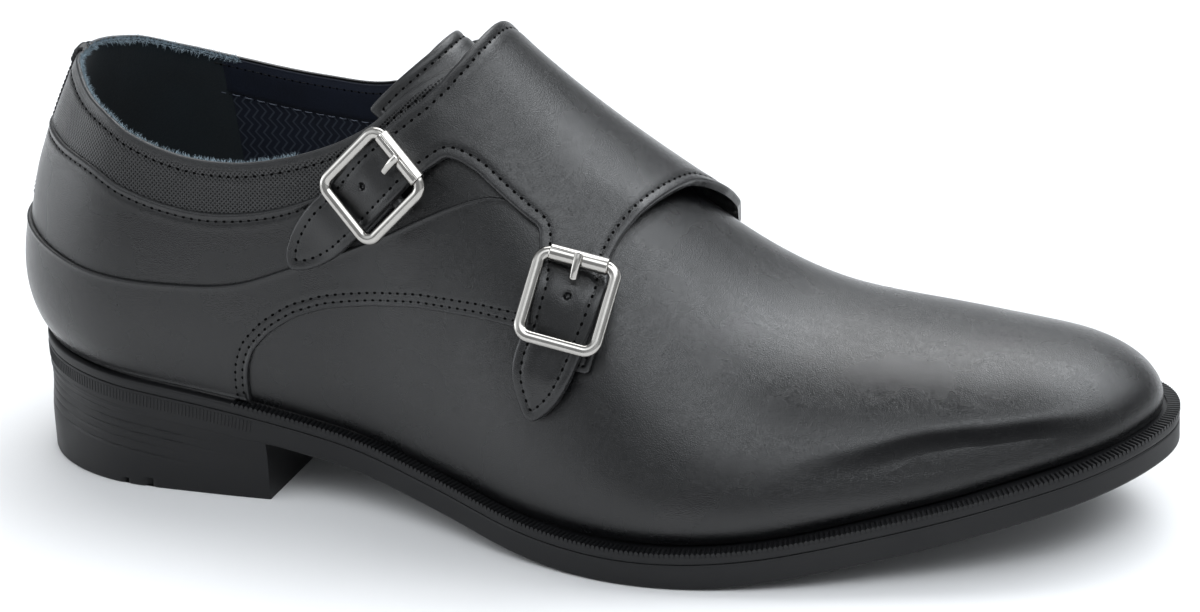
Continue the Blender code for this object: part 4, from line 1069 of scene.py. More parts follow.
# ======== panels of the back part
def round_the_heel(rows, front_x, drop=0.0, count=None):
    """Pattern line at a table's heights from the front of the outer side round the heel to the inner."""
    lim = u_of_x(front_x, INNER)
    u = np.linspace(-lim, lim, count or int(m_of_x(front_x, INNER)))
    return np.c_[at("m", u), along(rows, at("foot_x", u)) - drop]


def waist_line(front_x, side):
    """Pattern line of the seam between the lower panel and the vamp on one side."""
    seam = smooth_line(np.array(WAIST_SEAM), 0.5, 1.2)
    seam = seam[seam[:, 0] <= front_x]
    return np.c_[m_of_x(seam[:, 0], side), seam[:, 1]]


def panel_outline():
    """Outline of the lower panel, round the heel from one waist seam to the other."""
    lim = u_of_x(WAIST_SEAM[0][0], INNER)
    u = np.linspace(-lim, lim, 90)
    foot = np.c_[at("m", u), at("welt", u) + 0.4]
    top = round_the_heel(PANEL_TOP, 118.0)[::-1]
    return np.vstack([waist_line(118.0, OUTER)[::-1][:-1], foot, waist_line(118.0, INNER)[1:], top])


def seat(height):
    """Lift of a piece that lies at one height over the last."""
    return lambda flat, edge: np.full(len(flat), height)


def heel_swell(flat):
    """How far the collar stands out towards the strip at the back, by place on the pattern."""
    near_strip = 1 - ease(4.0, 22.0, abs(flat[:, 0] - STRIP_MIDDLE))
    return COLLAR_SWELL * near_strip * ease(60.0, 76.0, flat[:, 1])


def panel_lift(flat, edge):
    """Lower panel: flat, with a small bead along its edge."""
    return 0.9 + 0.26 * hump(edge - 0.45, 0.5)


def quarter_lift(flat, edge):
    """Quarter: swelling towards the strip at the back, with a bead along its edge."""
    return 0.05 + 0.8 * heel_swell(flat) + 0.22 * hump(edge - 0.8, 0.65)


def collar_lift(flat, edge):
    """Collar band: a little under the quarter."""
    return heel_swell(flat) - 0.45


def build_panels():
    """Lower panel with two rows of stitches at the waist seam, and the quarter over it."""
    rows = [beside(waist_line(117.0, side), gap * side, lay_side)[2:] for side in (OUTER, INNER)
            for gap in (1.5, 3.3)]
    cut_piece("lower_panel", smooth_line(panel_outline(), 0.5, 0.5, True), lay_side, panel_lift, 0.85,
              "Black calf", "black_leather", "upper", roll=0.55, seams=[(row, 0.14, 0.42) for row in rows])
    sew("panel_stitches", [on_face(row, lay_side, seat(0.9), 0.09) for row in rows], pitch=2.2, hole=0.42)
    outline = np.vstack([round_the_heel(PANEL_TOP, 112.0, 3.0), round_the_heel(BAND_SEAM, 112.0)[::-1]])
    row = round_the_heel(BAND_SEAM, 97.0, 2.0, 420)
    cut_piece("quarter", outline, lay_side, quarter_lift, 0.55, "Black calf", "black_leather", "upper",
              roll=0.5, seams=[(row, 0.2, 0.4)])
    sew("quarter_stitches", [on_face(row, lay_side, quarter_lift, 0.12)], pitch=2.1, hole=0.37)


def topline_path(drop=0.0, front_x=88.0):
    """Pattern line a little under the topline, from the outer side round the heel to the inner."""
    rows = []
    for side in (OUTER, INNER):
        u = np.linspace(0, u_of_x(front_x, side), 160)
        rows.append(np.c_[at("m", u), along(TOPLINE[side], at("foot_x", u)) - drop])
    return np.vstack([rows[0][::-1], rows[1][1:]])


def build_collar():
    """Collar band with pinholes, under the topline."""
    outline = np.vstack([round_the_heel(BAND_SEAM, 88.0, 3.0), topline_path()[::-1]])
    row = topline_path(3.4, 86.0)
    cut_piece("collar_band", outline, lay_side, collar_lift, 0.95, "Collar calf", "black_leather", "upper",
              seams=[(row, 0.2, 0.4)], rim_width=1.1)
    sew("collar_stitches", [on_face(row, lay_side, collar_lift, 0.12)], pitch=2.2, hole=0.37)


def lining_lift(flat, edge, inner=0.0):
    """Height of the lining over the last, or less by how much further in a piece of it lies."""
    return heel_swell(flat) - LINING_DEEP - 0.5 * ease(0.0, 3.0, edge) - inner


def side_lining(side, name, low, top):
    """Woven lining of one side with its calf strip along the topline, from where the suede ends."""
    low, top = (line[::side] for line in (low, top))
    forward = np.array([[m_of_x(112.0, side), 84.0], [m_of_x(100.0, side), 92.0]])
    cut_piece("lining_" + name, np.vstack([low, forward, top[::-1]]), lay_side,
              lambda f, e: lining_lift(f, e, -0.25), -0.5, "Woven lining", "dark_lining", "upper",
              1.2, roll=0.4, face_in=True)

    def strip_lift(flat, edge):
        return lining_lift(flat, edge, 0.15)

    def under(drop):
        return top - np.array([0.0, drop])

    outline, dash = np.vstack([under(0.35), under(12.5)[::-1]]), under(11.4)
    cut_piece("lining_strip_" + name, outline, lay_side, strip_lift, -0.35, "Lining calf", "dark_lining",
              "upper", 0.9, roll=0.3, face_in=True, seams=[(dash, 0.15, 0.4)])
    sew("lining_dashes_" + name, [on_face(dash, lay_side, strip_lift, 0.1, face_in=True)], "dark_lining",
        pitch=3.4, thread=0.3, hole=0.12, length=0.62, finish="Blue thread")
    sew("lining_stitches_" + name, [on_face(under(2.6), lay_side, strip_lift, 0.02, face_in=True)],
        "dark_lining", pitch=2.2, thread=0.3, hole=0.3)


def build_lining():
    """Suede round the heel, woven cloth and smooth calf further forward, fibres and the sock."""
    split = {side: m_of_x(LINING_SPLIT[side], side) for side in (OUTER, INNER)}
    top = topline_path(0.3)
    lim = u_of_x(112.0, INNER)
    u = np.linspace(-lim, lim, 340)
    low = np.c_[at("m", u), at("welt", u) + 1.5]
    heel_low, heel_top = (line[(line[:, 0] > split[OUTER]) & (line[:, 0] < split[INNER])]
                          for line in (low, top))
    cut_piece("heel_lining", np.vstack([heel_low, heel_top[::-1]]), lay_side, lining_lift, -0.5,
              "Heel suede", "dark_lining", "upper", 1.1, roll=0.5, face_in=True)
    for side, name in ((OUTER, "outer"), (INNER, "inner")):
        from_m = split[side] * side - 4.0
        side_lining(side, name, low[low[:, 0] * side > from_m], top[top[:, 0] * side > from_m])
    wool = topline_path(0.5, 60.0)
    wool = wool[(wool[:, 0] > m_of_x(50.0, OUTER)) & (wool[:, 0] < split[INNER] + 4)]
    line, out = on_face(wool, lay_side, lambda f, e: heel_swell(f) - 1.5)
    way = out * -0.35 + np.array([0.0, 0.0, 0.75])
    under = line - out * 0.15 - np.array([0, 0, 0.5])
    repeat("suede_fibres", fibre_tree, [(line, way), (line - out * 0.35, way), (under, -out + way * 0.4)],
           "dark_lining", Pitch=0.13 * MM, Length=look().fibre, Thickness=0.12 * MM, Seed=3,
           Material=finishes["Suede fibre"])
    insole = bpy.data.objects["insole"]
    insole.data.materials.clear()
    insole.data.materials.append(finishes["Sock leather"])


def build_tongue():
    """Tongue with its rolled back edge and one row of stitches."""
    across = np.linspace(-1, 1, 81) * (TONGUE_REACH + 0.14)
    outward = abs(np.sin(across) / math.sin(TONGUE_REACH))
    back = np.c_[TONGUE_BACK_X - 12.0 * outward**2.2, across * TOP_SCALE]
    front = np.c_[np.full(len(across), TONGUE_FRONT_X), across * TOP_SCALE]
    outline = smooth_line(np.vstack([back, front[::-1]]), 0.5, 0.8, True)
    row = inset_line(even(outline, 0.4, True), 2.6, lay_top)
    row = row[row[:, 0] < 100]
    row = row[np.argsort(row[:, 1])]
    cut_piece("tongue_cover", outline, lay_top, seat(-TONGUE_DEPTH), 2.0, "Tongue calf", "black_leather",
              "tongue", roll=0.8, seams=[(row, 0.25, 0.42)])
    sew("tongue_stitches", [on_face(row, lay_top, seat(-TONGUE_DEPTH), 0.18)], hole=0.40)


# ======== flap and straps
def side_frame(x, z, heading):
    """Middle, and unit vectors along, across and out of the outer wall at a place in side view."""
    dx, dz = heading[0] * 2.0, heading[1] * 2.0
    run = unit(outer_wall(x + dx, z + dz) - outer_wall(x - dx, z - dz))
    u = u_of_x(x, OUTER)
    out = last_normal(u, theta_at(u, z))
    out = unit(out - run * out.dot(run))
    return outer_wall(x, z), run, np.cross(out, run), out


def strap_edges(table, to_back):
    """Back and front edge of a strap in side view, from its root to its tip."""
    table = np.array(table)
    mid, half = table[:, :2], table[:, 2:]
    run = unit(np.gradient(mid, axis=0))
    side = np.c_[-run[:, 1], run[:, 0]]
    if side[0].dot(to_back) < 0:
        side = -side
    return mid + side * half, mid - side * half


def flap_outline():
    """Outline of the flap with both straps, in the instep pattern."""
    def of_angle(rows):
        return np.array([(x, math.radians(a) * TOP_SCALE) for x, a in rows])

    def of_side(rows):
        return top_from_xz(*np.array(rows).T)

    low_back, low_front = strap_edges(LOWER_STRAP, LOWER_ROOT)
    up_back, up_front = strap_edges(UPPER_STRAP, UPPER_ROOT)
    parts = [of_angle(FLAP_FRONT), of_side(low_front)[3:], of_side(low_back[::-1])[:-3], of_side(NOTCH[::-1]),
             of_side(up_front)[2:], of_side(up_back[::-1])[:-4], of_angle(FLAP_BACK[::-1])]
    return smooth_line(np.vstack(parts), 0.4, 0.8, True)


def flap_lift(flat, edge):
    """Height of the flap's face over the last, with the straps' rise through their buckles."""
    angle = flat[:, 1] / TOP_SCALE
    edges = []
    for table in (FLAP_BACK, FLAP_FRONT):
        x, degrees = np.array(table[::-1]).T
        edges.append(np.interp(angle, np.radians(degrees), x))
    t = np.clip((flat[:, 0] - edges[0]) / (edges[1] - edges[0]), 0, 1)
    lean = np.cos(angle)**6 * (angle < 0) + np.cos(angle * 0.8)**6 * (angle >= 0)
    lift = FLAP_OFFSET + (FLAP_FRONT_STAND * t**3 + FLAP_BACK_STAND * (1 - t)**3) * lean
    here = last(*lay_top(flat))
    reach = np.arange(-40, 40.5, 0.5)
    climb_row = soften(along(STRAP_LIFT, reach), 2.6)
    for _, x, z, heading, _, table in BUCKLES:
        middle, run, _, _ = side_frame(x, z, heading)
        centre = outer_wall(*np.array(table)[:, :2].T)
        near = 1 - ease(8.0, 19.0, distance(here, even(centre, 1.0)))
        lift = lift * (1 - near) + np.interp((here - middle) @ run, reach, climb_row) * near
    return lift + FLAP_THICK


def strap_dents(spot):
    """Punched holes in the straps, as depth at a place in space."""
    depth = np.zeros(len(spot))
    for x, z in HOLES:
        gap = np.linalg.norm(spot - outer_wall(x, z), axis=1)
        depth = np.maximum(depth, 1.3 * (1 - ease(0.45, 1.0, gap)) + 0.12 * hump(gap - 1.2, 0.5))
    return depth


def hole_points():
    """Close points round the punched holes, for the pattern."""
    rings = []
    for centre in top_from_xz(*np.array(HOLES).T):
        for r in (0.0, 0.3, 0.5, 0.7, 0.9, 1.15, 1.5, 2.0):
            a = np.linspace(0, 2 * math.pi, max(int(r * 22), 1), endpoint=False)
            rings.append(centre + r * np.c_[np.cos(a), np.sin(a)])
    return np.vstack(rings)


def build_flap():
    """Flap over the instep with its two straps, stitched all round."""
    outline = flap_outline()
    row = ring_of(inset_line(even(outline, 0.4, True), STRAP_ROW, lay_top))
    row = soften(even(row, 0.4), 1.0)
    cut_piece("flap_and_straps", outline, lay_top, flap_lift, FLAP_THICK, "Strap calf", "strap_leather",
              "strap_flap", 0.75, roll=0.75, seams=[(row, 0.16, 0.5)], dents=strap_dents, dense=hole_points())
    sew("flap_stitches", [on_face(row, lay_top, flap_lift, 0.13, 0.3)], "strap_leather", hole=0.43)


def build_chapes():
    """Stitched tabs under the straps that hold the buckles' bars."""
    for name, x, z, heading, half_long, half_wide in CHAPES:
        heading = np.array(heading)
        across = np.array([-heading[1], heading[0]])
        corners = [np.array([x, z]) + heading * (half_long * a) + across * (half_wide * b)
                   for a, b in ((-1, -1), (1, -1), (1, 1), (-1, 1))]
        ring = smooth_line(corners, 0.4, 0.7, True)
        outline = np.c_[m_of_x(ring[:, 0], OUTER), ring[:, 1]]
        row = ring_of(inset_line(even(outline, 0.3, True), 1.5, lay_side))
        cut_piece(name + "_tab", outline, lay_side, seat(CHAPE_HIGH), 1.0, "Strap calf", "strap_leather",
                  name, 0.6, roll=0.5, seams=[(row, 0.2, 0.36)])
        sew(name + "_stitches", [on_face(row, lay_side, seat(CHAPE_HIGH), 0.14)], "strap_leather", pitch=2.2)


# ======== buckles
def tube_faces(rings, sides, closed):
    """Quads between rings of points, the last ring joined to the first if closed."""
    return [(i * sides + k, i * sides + (k + 1) % sides,
             (i + 1) % rings * sides + (k + 1) % sides, (i + 1) % rings * sides + k)
            for i in range(rings if closed else rings - 1) for k in range(sides)]


def wire(path, radius, sides, closed=False, flat=1.0, up=(0.0, 0.0, 1.0)):
    """Points and faces of a wire along a path, as thick as flat says along the way up."""
    path = np.asarray(path, float)
    run = unit(np.roll(path, -1, 0) - np.roll(path, 1, 0) if closed else np.gradient(path, axis=0))
    up = np.asarray(up)
    up = unit(up - run * (run * up).sum(1)[:, None])
    a = np.linspace(0, 2 * math.pi, sides, endpoint=False)
    ring = (np.cross(run, up)[:, None, :] * np.cos(a)[None, :, None]
            + up[:, None, :] * (flat * np.sin(a))[None, :, None])
    radius = np.broadcast_to(np.asarray(radius, float), len(path))
    points = (path[:, None, :] + ring * radius[:, None, None]).reshape(-1, 3)
    faces = tube_faces(len(path), sides, closed)
    if not closed:
        faces += [tuple(range(sides))[::-1], tuple(range(len(points) - sides, len(points)))]
    return points, faces


def together(parts):
    """One list of points and faces from several."""
    points, faces, start = [], [], 0
    for some, more in parts:
        points.append(some)
        faces += [tuple(i + start for i in f) for f in more]
        start += len(some)
    return np.vstack(points), faces


def frame_path(long, wide):
    """Middle line of a buckle's frame, a rectangle with round corners."""
    points = []
    for sx, sy, turn in ((1, 1, 0), (-1, 1, 90), (-1, -1, 180), (1, -1, 270)):
        cx, cy = sx * (long / 2 - FRAME_CORNER), sy * (wide / 2 - FRAME_CORNER)
        for step in np.linspace(0, 90, 10):
            a = math.radians(turn + step)
            points.append((cx + FRAME_CORNER * math.cos(a), cy + FRAME_CORNER * math.sin(a), 0.0))
    return np.array(points)


def bar(reach, end_drop, high, pitch):
    """Line across a buckle where its bar runs, bent down at both ends."""
    ends = [(BAR_AT, -reach, -0.5), (BAR_AT, reach, -0.5)] if end_drop else []
    middle = [(BAR_AT, end_drop - reach, high), (BAR_AT, reach - end_drop, high)]
    return even(ends[:1] + middle + ends[1:], pitch)


def roller_shape(middle):
    """Points and faces of the tube on the frame's end, with the fine slit where it is rolled shut."""
    profile = [(ROLLER_IN, -ROLLER_HALF), (1.85, -ROLLER_HALF), (ROLLER_OUT, 0.22 - ROLLER_HALF),
               (ROLLER_OUT, ROLLER_HALF - 0.22), (1.85, ROLLER_HALF), (ROLLER_IN, ROLLER_HALF)]
    turns = np.linspace(0, 2 * math.pi, 72, endpoint=False)
    points = []
    for turn, slit in zip(turns, 0.30 * hump(turns - math.radians(112), 0.05)):
        for r, along_bar in profile:
            r -= slit if r > ROLLER_IN else 0.0
            points.append((middle + r * math.cos(turn), along_bar, r * math.sin(turn)))
    return points, tube_faces(len(turns), len(profile), True)


def prong_shape():
    """Points and faces of the pin that lies over the roller, with both ends drawn to a point."""
    crest, sides = ROLLER_OUT + PRONG_OVER, 18
    path = smooth_line([(-11.0, 0, crest), (-9.2, 0, crest), (-7.2, 0, 2.1), (-5.2, 0, 1.3)], 0.3, 0.5)
    points, faces = wire(path, np.linspace(1.0, 0.85, len(path)), sides, flat=0.62)
    ends = [path[k] + unit(path[k] - path[k + row]) * 0.35 for k, row in ((0, 1), (len(path) - 1, -1))]
    n = len(points)
    faces = faces[:-2]
    for k in range(sides):
        faces.append((k, (k + 1) % sides, n))
        faces.append((n - sides + (k + 1) % sides, n - sides + k, n + 1))
    return np.vstack([points, ends]), faces


def build_buckles():
    """Frames with their bars, the leather folded round the bars, rollers and prongs."""
    long, wide, thick = (v / MM for v in (look().frame_long, look().frame_wide, look().frame_wire))
    for label, x, z, heading, lift, _ in BUCKLES:
        middle, run, across, out = side_frame(x, z, heading)
        basis = np.stack([run, across, out])
        sink, reach = BAR_OVER_LAST - lift, wide / 2
        frame_and_bar = together([wire(even(frame_path(long, wide), 0.45, True), thick, 24, True, 0.78),
                                  wire(bar(reach, 0.7, sink, 0.4), 0.8, 12)])
        fold = wire(bar(reach - 1.0, 0.0, sink - 0.2, 0.5), 1.75, 20, flat=0.8)
        parts = [("frame_", frame_and_bar, "Polished nickel", 60, "nickel", "buckle_frame_"),
                 ("chape_fold_", fold, "Strap calf", 50, "strap_leather", "chape_"),
                 ("roller_tube_", roller_shape(-long / 2), "Polished nickel", 40, "nickel", "roller_"),
                 ("prong_pin_", prong_shape(), "Polished nickel", 60, "nickel", "prong_")]
        for name, (points, faces), finish, sharp, slot, solid in parts:
            points = middle + out * lift + np.asarray(points) @ basis
            piece(name + label, points, faces, finish, sharp, slot, solid + label)


# ======== sole and welt
def edge_columns(pitch=0.6):
    """Stations round half of the sole's edge, with one exactly at the heel breast, and its number."""
    fine = np.linspace(0, 3, 1201)
    run = run_of(np.c_[at("wx", fine), at("wy", fine)])
    cut = np.interp(u_of_x(BREAST_X, INNER), fine, run)
    back = np.linspace(0, cut, int(cut / pitch))
    front = np.linspace(cut, run[-1], int((run[-1] - cut) / pitch))
    return np.interp(np.r_[back, front[1:]], run, fine), len(back) - 1


def heel_cuts(points):
    """Depth of the lines and notches moulded in the heel's wall."""
    x, z = points[:, 0], points[:, 2]
    below = form("welt", x) - z
    deep = np.zeros(len(points))
    for height, reach, depth in HEEL_LINES:
        shown = 1 - ease(reach - 8.0, reach + 10.0, x)
        deep = np.maximum(deep, depth * hump(below - height, 0.26) * shown)
    for notch_x, width, tall in HEEL_NOTCHES:
        notch = 1.3 * hump(x - notch_x, width) * (1 - ease(tall - 0.4, tall + 0.2, z))
        deep = np.maximum(deep, notch * (points[:, 1] < 0))
    return deep


def stack_rings(rings, columns, start=0, upto=None):
    """Walls between rings of edge points, from the heel's back to the column upto of each half."""
    size = 2 * columns
    faces = []
    for k in range(rings - 1):
        for half in (0, columns):
            for c in range((upto or columns) - 1):
                a = start + k * size + half + c
                f = (a, a + 1, a + size + 1, a + size)
                faces.append(f if half else f[::-1])
    return faces


def rungs(base, columns, first, final):
    """Faces across the shoe from the outer half of a ring to its inner half."""
    return [(base + c, base + c + 1, base + columns + c + 1, base + columns + c) for c in range(first, final)]


def build_sole():
    """Outsole in one with the heel, the welt plate, the ribs round it and the ticks on the heel."""
    s, breast = edge_columns()
    n = len(s)
    size = 2 * n
    u = np.r_[s * OUTER, s * INNER]
    place, out = np.c_[at("wx", u), at("wy", u)], np.c_[at("nx", u), at("ny", u)]
    x = place[:, 0]
    welt, sole, draw = form("welt", x), form("sole", x), along(HEEL_DRAW, x)

    def ring(inset, height):
        return np.c_[place - out * np.broadcast_to(inset, size)[:, None], np.broadcast_to(height, size)]

    def quarter_turn(steps):
        return [(1 - math.cos(a), 1 - math.sin(a)) for a in np.linspace(0, HALF_PI, steps)]

    rings = [ring(SOLE_ROUND * b, welt - (SOLE_TOP + SOLE_ROUND * a)) for a, b in quarter_turn(5)]
    for t in np.arange(1, 14) / 14:
        rings.append(ring(0.0, (welt - SOLE_TOP - SOLE_ROUND) * (1 - t) + (sole + SOLE_LOW_ROUND) * t))
    in_front = ease(34.0, 44.0, x)
    rings += [ring(SOLE_LOW_ROUND * a * in_front, sole + SOLE_LOW_ROUND * b) for a, b in quarter_turn(6)]
    low = len(rings) - 1
    for t in np.arange(1, 56) / 56:
        waisted = draw * ease(0, 0.6, t) + 0.4 * hump(t - 0.25, 0.25)
        rings.append(ring(waisted, sole * (1 - t) + HEEL_FOOT * t))
    rings += [ring(draw + 0.5 * a, 0.5 * b) for a, b in quarter_turn(4)]
    floor_ring = len(rings) - 1
    for points in rings[1:-1]:
        points[:, :2] -= out * (heel_cuts(points) * (points[:, 0] < BREAST_X + 0.01))[:, None]
    faces = stack_rings(low + 1, n) + rungs(0, n, 0, n - 1)
    faces += [f[::-1] for f in rungs(low * size, n, breast, n - 1)]
    faces += stack_rings(floor_ring - low + 1, n, low * size, breast + 1)
    faces += [f[::-1] for f in rungs(floor_ring * size, n, 0, breast)]
    for k in range(low, floor_ring):
        a = k * size + breast
        faces.append((a, a + n, a + size + n, a + size))
    used, faces = np.unique(np.array(faces), return_inverse=True)
    piece("outsole", np.vstack(rings)[used], faces.reshape(-1, 4), "Sole rubber", 45, "black_rubber",
          "sole_unit")

    points = np.vstack([ring(inset, welt - drop) for inset, drop in WELT_EDGE])
    rows = len(WELT_EDGE)
    faces = stack_rings(rows, n) + rungs(0, n, 0, n - 1)
    faces += [f[::-1] for f in rungs((rows - 1) * size, n, 0, n - 1)]
    piece("welt_plate", points, faces, "Welt rubber", 45, "black_rubber", "welt")

    def edge_line(u, inset, drop):
        x, y, nx, ny = (at(column, u) for column in ("wx", "wy", "nx", "ny"))
        return np.c_[x - nx * inset, y - ny * inset, form("welt", x) - drop], np.c_[nx, ny, np.zeros(len(u))]

    u = np.r_[-s, s[::-1][1:]]
    line, _ = edge_line(u[at("wx", u) > RIB_BACK], RIB_INSET, RIB_DROP)
    repeat("welt_ribs", rib_tree, [(line, np.tile([0.0, 0.0, 1.0], (len(line), 1)))], "black_rubber",
           Pitch=look().rib_pitch, Width=0.92 * MM, Height=1.1 * MM, Length=3.1 * MM,
           Material=finishes["Welt rubber"])
    ticks = [edge_line(u[at("wx", u) < TICK_FRONT], TICK_INSET, TICK_DROP) for u in (s * OUTER, s * INNER)]
    repeat("heel_ticks", rib_tree, ticks, "black_rubber", Pitch=0.95 * MM, Width=0.36 * MM,
           Height=0.34 * MM, Length=2.9 * MM, Material=finishes["Sole rubber"])


def build_back_strip():
    """Narrow strip with whipped edges, a bar of thread at its top and the seam below it."""
    top_z = along(TOPLINE[OUTER], STRIP_X) - 0.2
    low_z = along(PANEL_TOP, STRIP_X) + 0.4
    m, z = np.meshgrid(np.linspace(-STRIP_HALF, STRIP_HALF, 11), np.linspace(top_z, low_z, 80))
    u = u_of_m(m + STRIP_MIDDLE)
    theta = theta_at(u, z)
    face = skin(u, theta, STRIP_HIGH * (1 - 0.45 * (m / STRIP_HALF)**4))
    under = skin(u, theta, np.full(m.shape, 0.1))
    flat = np.c_[m.ravel(), z.ravel()]
    shell_grid("heel_strip", face[:, ::-1], under[:, ::-1], "Black calf", "black_leather", "back_strip",
               np.vstack([flat, flat]) / 10)

    def upright(m, z, lift):
        """Points and outward directions up the heel at one place of the pattern."""
        u = np.full(len(z), u_of_m(m))
        theta = theta_at(u, z)
        return skin(u, theta, np.full(len(z), lift)), last_normal(u, theta)

    z = np.linspace(top_z - 0.4, low_z + 0.2, 120)
    edges = [upright(STRIP_MIDDLE + side * (STRIP_HALF + 0.05), z, 1.7) for side in (-1, 1)]
    sew("strip_cord", edges, pitch=1.3, length=1.5 / 1.3, thread=0.95, hole=0.12)
    a = np.linspace(-1.0, 1.0, 17)
    threads = []
    for k in range(3):
        u = u_of_m(STRIP_MIDDLE + a * (4.4 - 0.1 * k))
        theta = theta_at(u, top_z - 1.0 - 1.2 * k + 0.35 * np.sin(a * 2 + k))
        threads.append((skin(u, theta, 2.15 - 1.5 * a**6), last_normal(u, theta), 0.5))
    threads.append((*upright(STRIP_MIDDLE, np.linspace(low_z - 0.5, at("welt", 0.0) + 1.0, 60), 1.0), 0.4))
    bars = together([wire(path, radius, 8, up=out) for path, out, radius in threads])
    piece("strip_bar", *bars, "Waxed thread", 50, "black_leather", "back_strip")


# ======== stage
def way_to(turn, rise):
    """Unit vector at a turn from the toe and a height over the horizon, both in degrees."""
    turn, rise = math.radians(turn), math.radians(rise)
    return (math.cos(turn) * math.cos(rise), math.sin(turn) * math.cos(rise), math.sin(rise))


def studio_air():
    """World with an even air, dimmer under the table, and wide soft lights set in it."""
    world = bpy.data.worlds.new("Studio air")
    bpy.context.scene.world = world
    world.use_nodes = True
    tree = world.node_tree
    way = node(tree, "ShaderNodeTexCoord").outputs["Generated"]
    height = node(tree, "ShaderNodeSeparateXYZ", {0: way}).outputs[2]
    total = ramp(tree, height, -0.25, 0.12, AIR_BELOW, AIR_HORIZON)
    for turn, rise, wide, full, strength in AIR_LOBES:
        facing = node(tree, "ShaderNodeVectorMath", {0: way, 1: way_to(turn, rise)},
                      operation="DOT_PRODUCT").outputs["Value"]
        wide, full = math.cos(math.radians(wide)), math.cos(math.radians(full))
        total = sum_of(tree, total, ramp(tree, facing, wide, full, 0.0, strength))
    air = tree.nodes["Background"]
    air.inputs["Color"].default_value = (0.93, 0.965, 1.0, 1)
    tree.links.new(calc(tree, "MULTIPLY", total, look().light), air.inputs["Strength"])


def studio_camera():
    """Camera from the buckle side, turned towards the toe and looking down."""
    az, el, roll = (math.radians(CAMERA[k]) for k in ("azimuth", "elevation", "roll"))
    back = Vector((math.sin(az) * math.cos(el), -math.cos(az) * math.cos(el), math.sin(el)))
    right = Vector((math.cos(az), math.sin(az), 0))
    up = back.cross(right)
    right, up = right * math.cos(roll) + up * math.sin(roll), up * math.cos(roll) - right * math.sin(roll)
    data = bpy.data.cameras.new("studio_camera")
    data.sensor_width = 36.0
    data.lens = CAMERA["focal"] / VIEW_WIDE * data.sensor_width
    data.shift_x = (VIEW_WIDE / 2 - CAMERA["middle"][0]) / VIEW_WIDE
    data.shift_y = (CAMERA["middle"][1] - VIEW_HIGH / 2) / VIEW_WIDE
    data.clip_start = 0.01
    camera = add_object("studio_camera", data)
    spin = Matrix((right, up, back)).transposed().to_4x4()
    place = (Vector(CAMERA["target"]) + back * CAMERA["distance"]) * MM
    camera.matrix_world = Matrix.Translation(place) @ spin
    bpy.context.scene.camera = camera


def build_stage():
    """Floor, air, one wide lamp and the camera."""
    mesh = bpy.data.meshes.new("studio_floor")
    mesh.from_pydata([(-4, -4, 0), (4, -4, 0), (4, 4, 0), (-4, 4, 0)], [], [(0, 1, 2, 3)])
    mesh.materials.append(finishes["Studio floor"])
    floor = add_object("studio_floor", mesh)
    studio_air()
    light = bpy.data.lights.new("overhead", "SUN")
    light.energy = LAMP_POWER * look().light
    light.angle = math.radians(LAMP_WIDE)
    way = Vector(way_to(LAMP_TURN, LAMP_RISE))
    add_object("overhead", light).rotation_euler = way.to_track_quat("Z", "Y").to_euler()
    studio_camera()
    bpy.context.scene.view_settings.view_transform = "Standard"


# ======== add-on
def colour(name, text, default):
    """Colour that the panel shows."""
    return FloatVectorProperty(name=name, description=text, subtype="COLOR", default=default,
                               min=0.0, max=1.0)


def length(name, text, default, low, high):
    """Length in metres that the panel shows."""
    return FloatProperty(name=name, description=text, subtype="DISTANCE", unit="LENGTH", default=default,
                         min=low, max=high)


class ShoeLook(bpy.types.PropertyGroup):
    """Sizes in metres and colours of the shoe."""
    leather: colour("Leather colour", "Colour of the dressed leather", (0.0028, 0.0029, 0.0033))
    gloss: FloatProperty(
        name="Leather roughness", description="0 is a mirror, 1 is matt", subtype="FACTOR",
        default=0.27, min=0.05, max=1.0)
    rubber: colour("Rubber colour", "Colour of the sole and the welt", (0.0045, 0.0046, 0.0052))
    suede: colour("Suede colour", "Colour of the lining round the heel", (0.0024, 0.0068, 0.0098))
    lining: colour("Lining colour", "Colour of the lining further forward", (0.0045, 0.0078, 0.019))
    metal: colour("Buckle colour", "Colour of the plated buckles", (0.43, 0.415, 0.392))
    stitch_pitch: length("Stitch pitch", "From one stitch to the next on the straps and the tongue",
                         0.0023, 0.001, 0.006)
    thread: length("Thread", "Thickness of the sewing thread", 0.00026, 0.0001, 0.001)
    rib_pitch: length("Rib pitch", "From one rib of the welt to the next", 0.0012, 0.0006, 0.004)
    fibre: length("Fibre length", "Longest fibres that stand out of the suede", 0.0017, 0.0002, 0.005)
    frame_long: length("Buckle length", "Buckle frame along the strap, between wire middles",
                       0.0204, 0.014, 0.026)
    frame_wide: length("Buckle width", "Buckle frame across the strap, between wire middles",
                       0.0186, 0.014, 0.024)
    frame_wire: length("Buckle wire", "Half the thickness of the buckle's wire", 0.00145, 0.0006, 0.002)
    light: FloatProperty(
        name="Studio light", description="Strength of the studio lights against their normal strength",
        default=1.0, min=0.0, subtype="FACTOR")


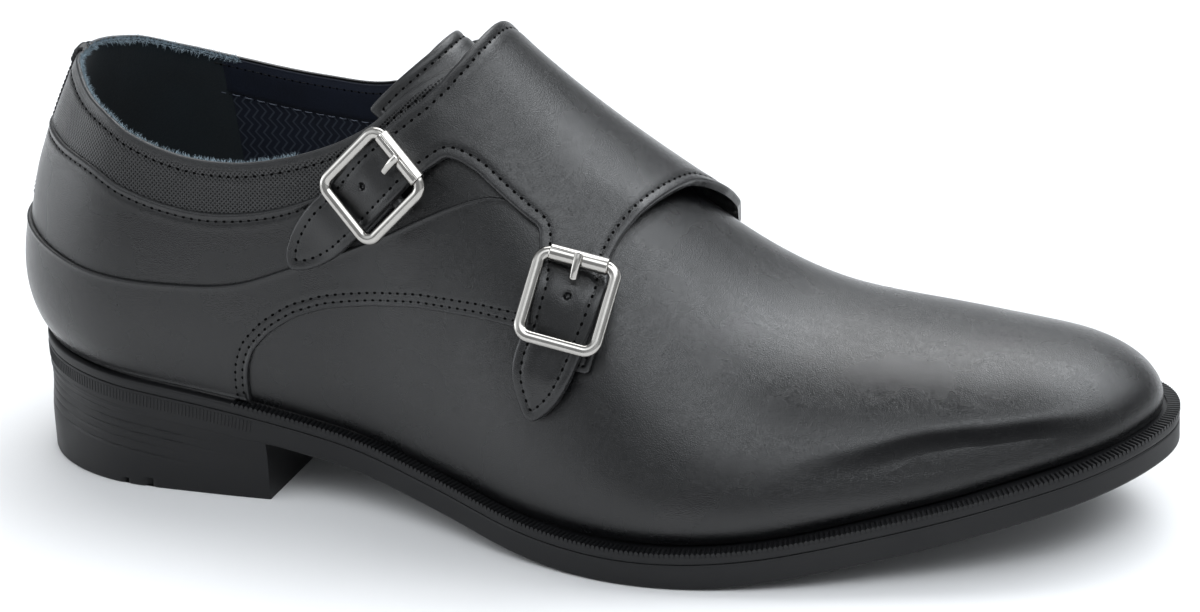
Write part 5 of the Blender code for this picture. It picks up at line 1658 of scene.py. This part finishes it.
def operator(idname, label, text, work):
    """Operator class that runs one piece's builder."""
    def execute(self, context):
        work()
        return {"FINISHED"}
    return type("SHOE_OT_" + idname, (bpy.types.Operator,),
                {"bl_idname": "shoe." + idname, "bl_label": label, "__doc__": text, "execute": execute})


class ShoePanel(bpy.types.Panel):
    """Lists the sizes and colours of the shoe and the builders of its pieces."""
    bl_idname = "VIEW3D_PT_shoe"
    bl_label = "Monk-strap shoe"
    bl_space_type = "VIEW_3D"
    bl_region_type = "UI"
    bl_category = "Shoe"

    def draw(self, context):
        look = context.scene.shoe_look
        for key in ShoeLook.__annotations__:
            self.layout.prop(look, key)
        for step in STEPS:
            self.layout.operator(step.bl_idname)


STEPS = [
    operator("finishes", "Finishes", "Make the leather, lining, rubber and metal finishes", make_finishes),
    operator("vamp", "Vamp", "Build the front part of the upper", build_vamp),
    operator("panels", "Panels", "Build the lower panel and the quarter", build_panels),
    operator("collar", "Collar", "Build the collar band", build_collar),
    operator("lining", "Lining", "Build the lining", build_lining),
    operator("tongue", "Tongue", "Build the tongue", build_tongue),
    operator("flap", "Flap", "Build the flap with its straps", build_flap),
    operator("chapes", "Chapes", "Build the tabs that hold the buckles", build_chapes),
    operator("buckles", "Buckles", "Build frames, rollers and prongs", build_buckles),
    operator("back_strip", "Back strip", "Build the strip down the heel", build_back_strip),
    operator("sole", "Sole", "Build the outsole and the welt", build_sole),
    operator("stage", "Stage", "Build the floor, the lights and the camera", build_stage),
]


def register():
    """Adds the properties, the panel and the operators."""
    for cls in [ShoeLook, ShoePanel] + STEPS:
        bpy.utils.register_class(cls)
    bpy.types.Scene.shoe_look = PointerProperty(type=ShoeLook)


def unregister():
    del bpy.types.Scene.shoe_look
    for cls in reversed([ShoeLook, ShoePanel] + STEPS):
        bpy.utils.unregister_class(cls)


def main():
    """Builds every piece and writes the sizes before and after."""
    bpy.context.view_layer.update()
    register()
    for step in STEPS:
        getattr(bpy.ops.shoe, step.bl_idname.split(".")[1])()


if __name__ == "__main__":
    main()
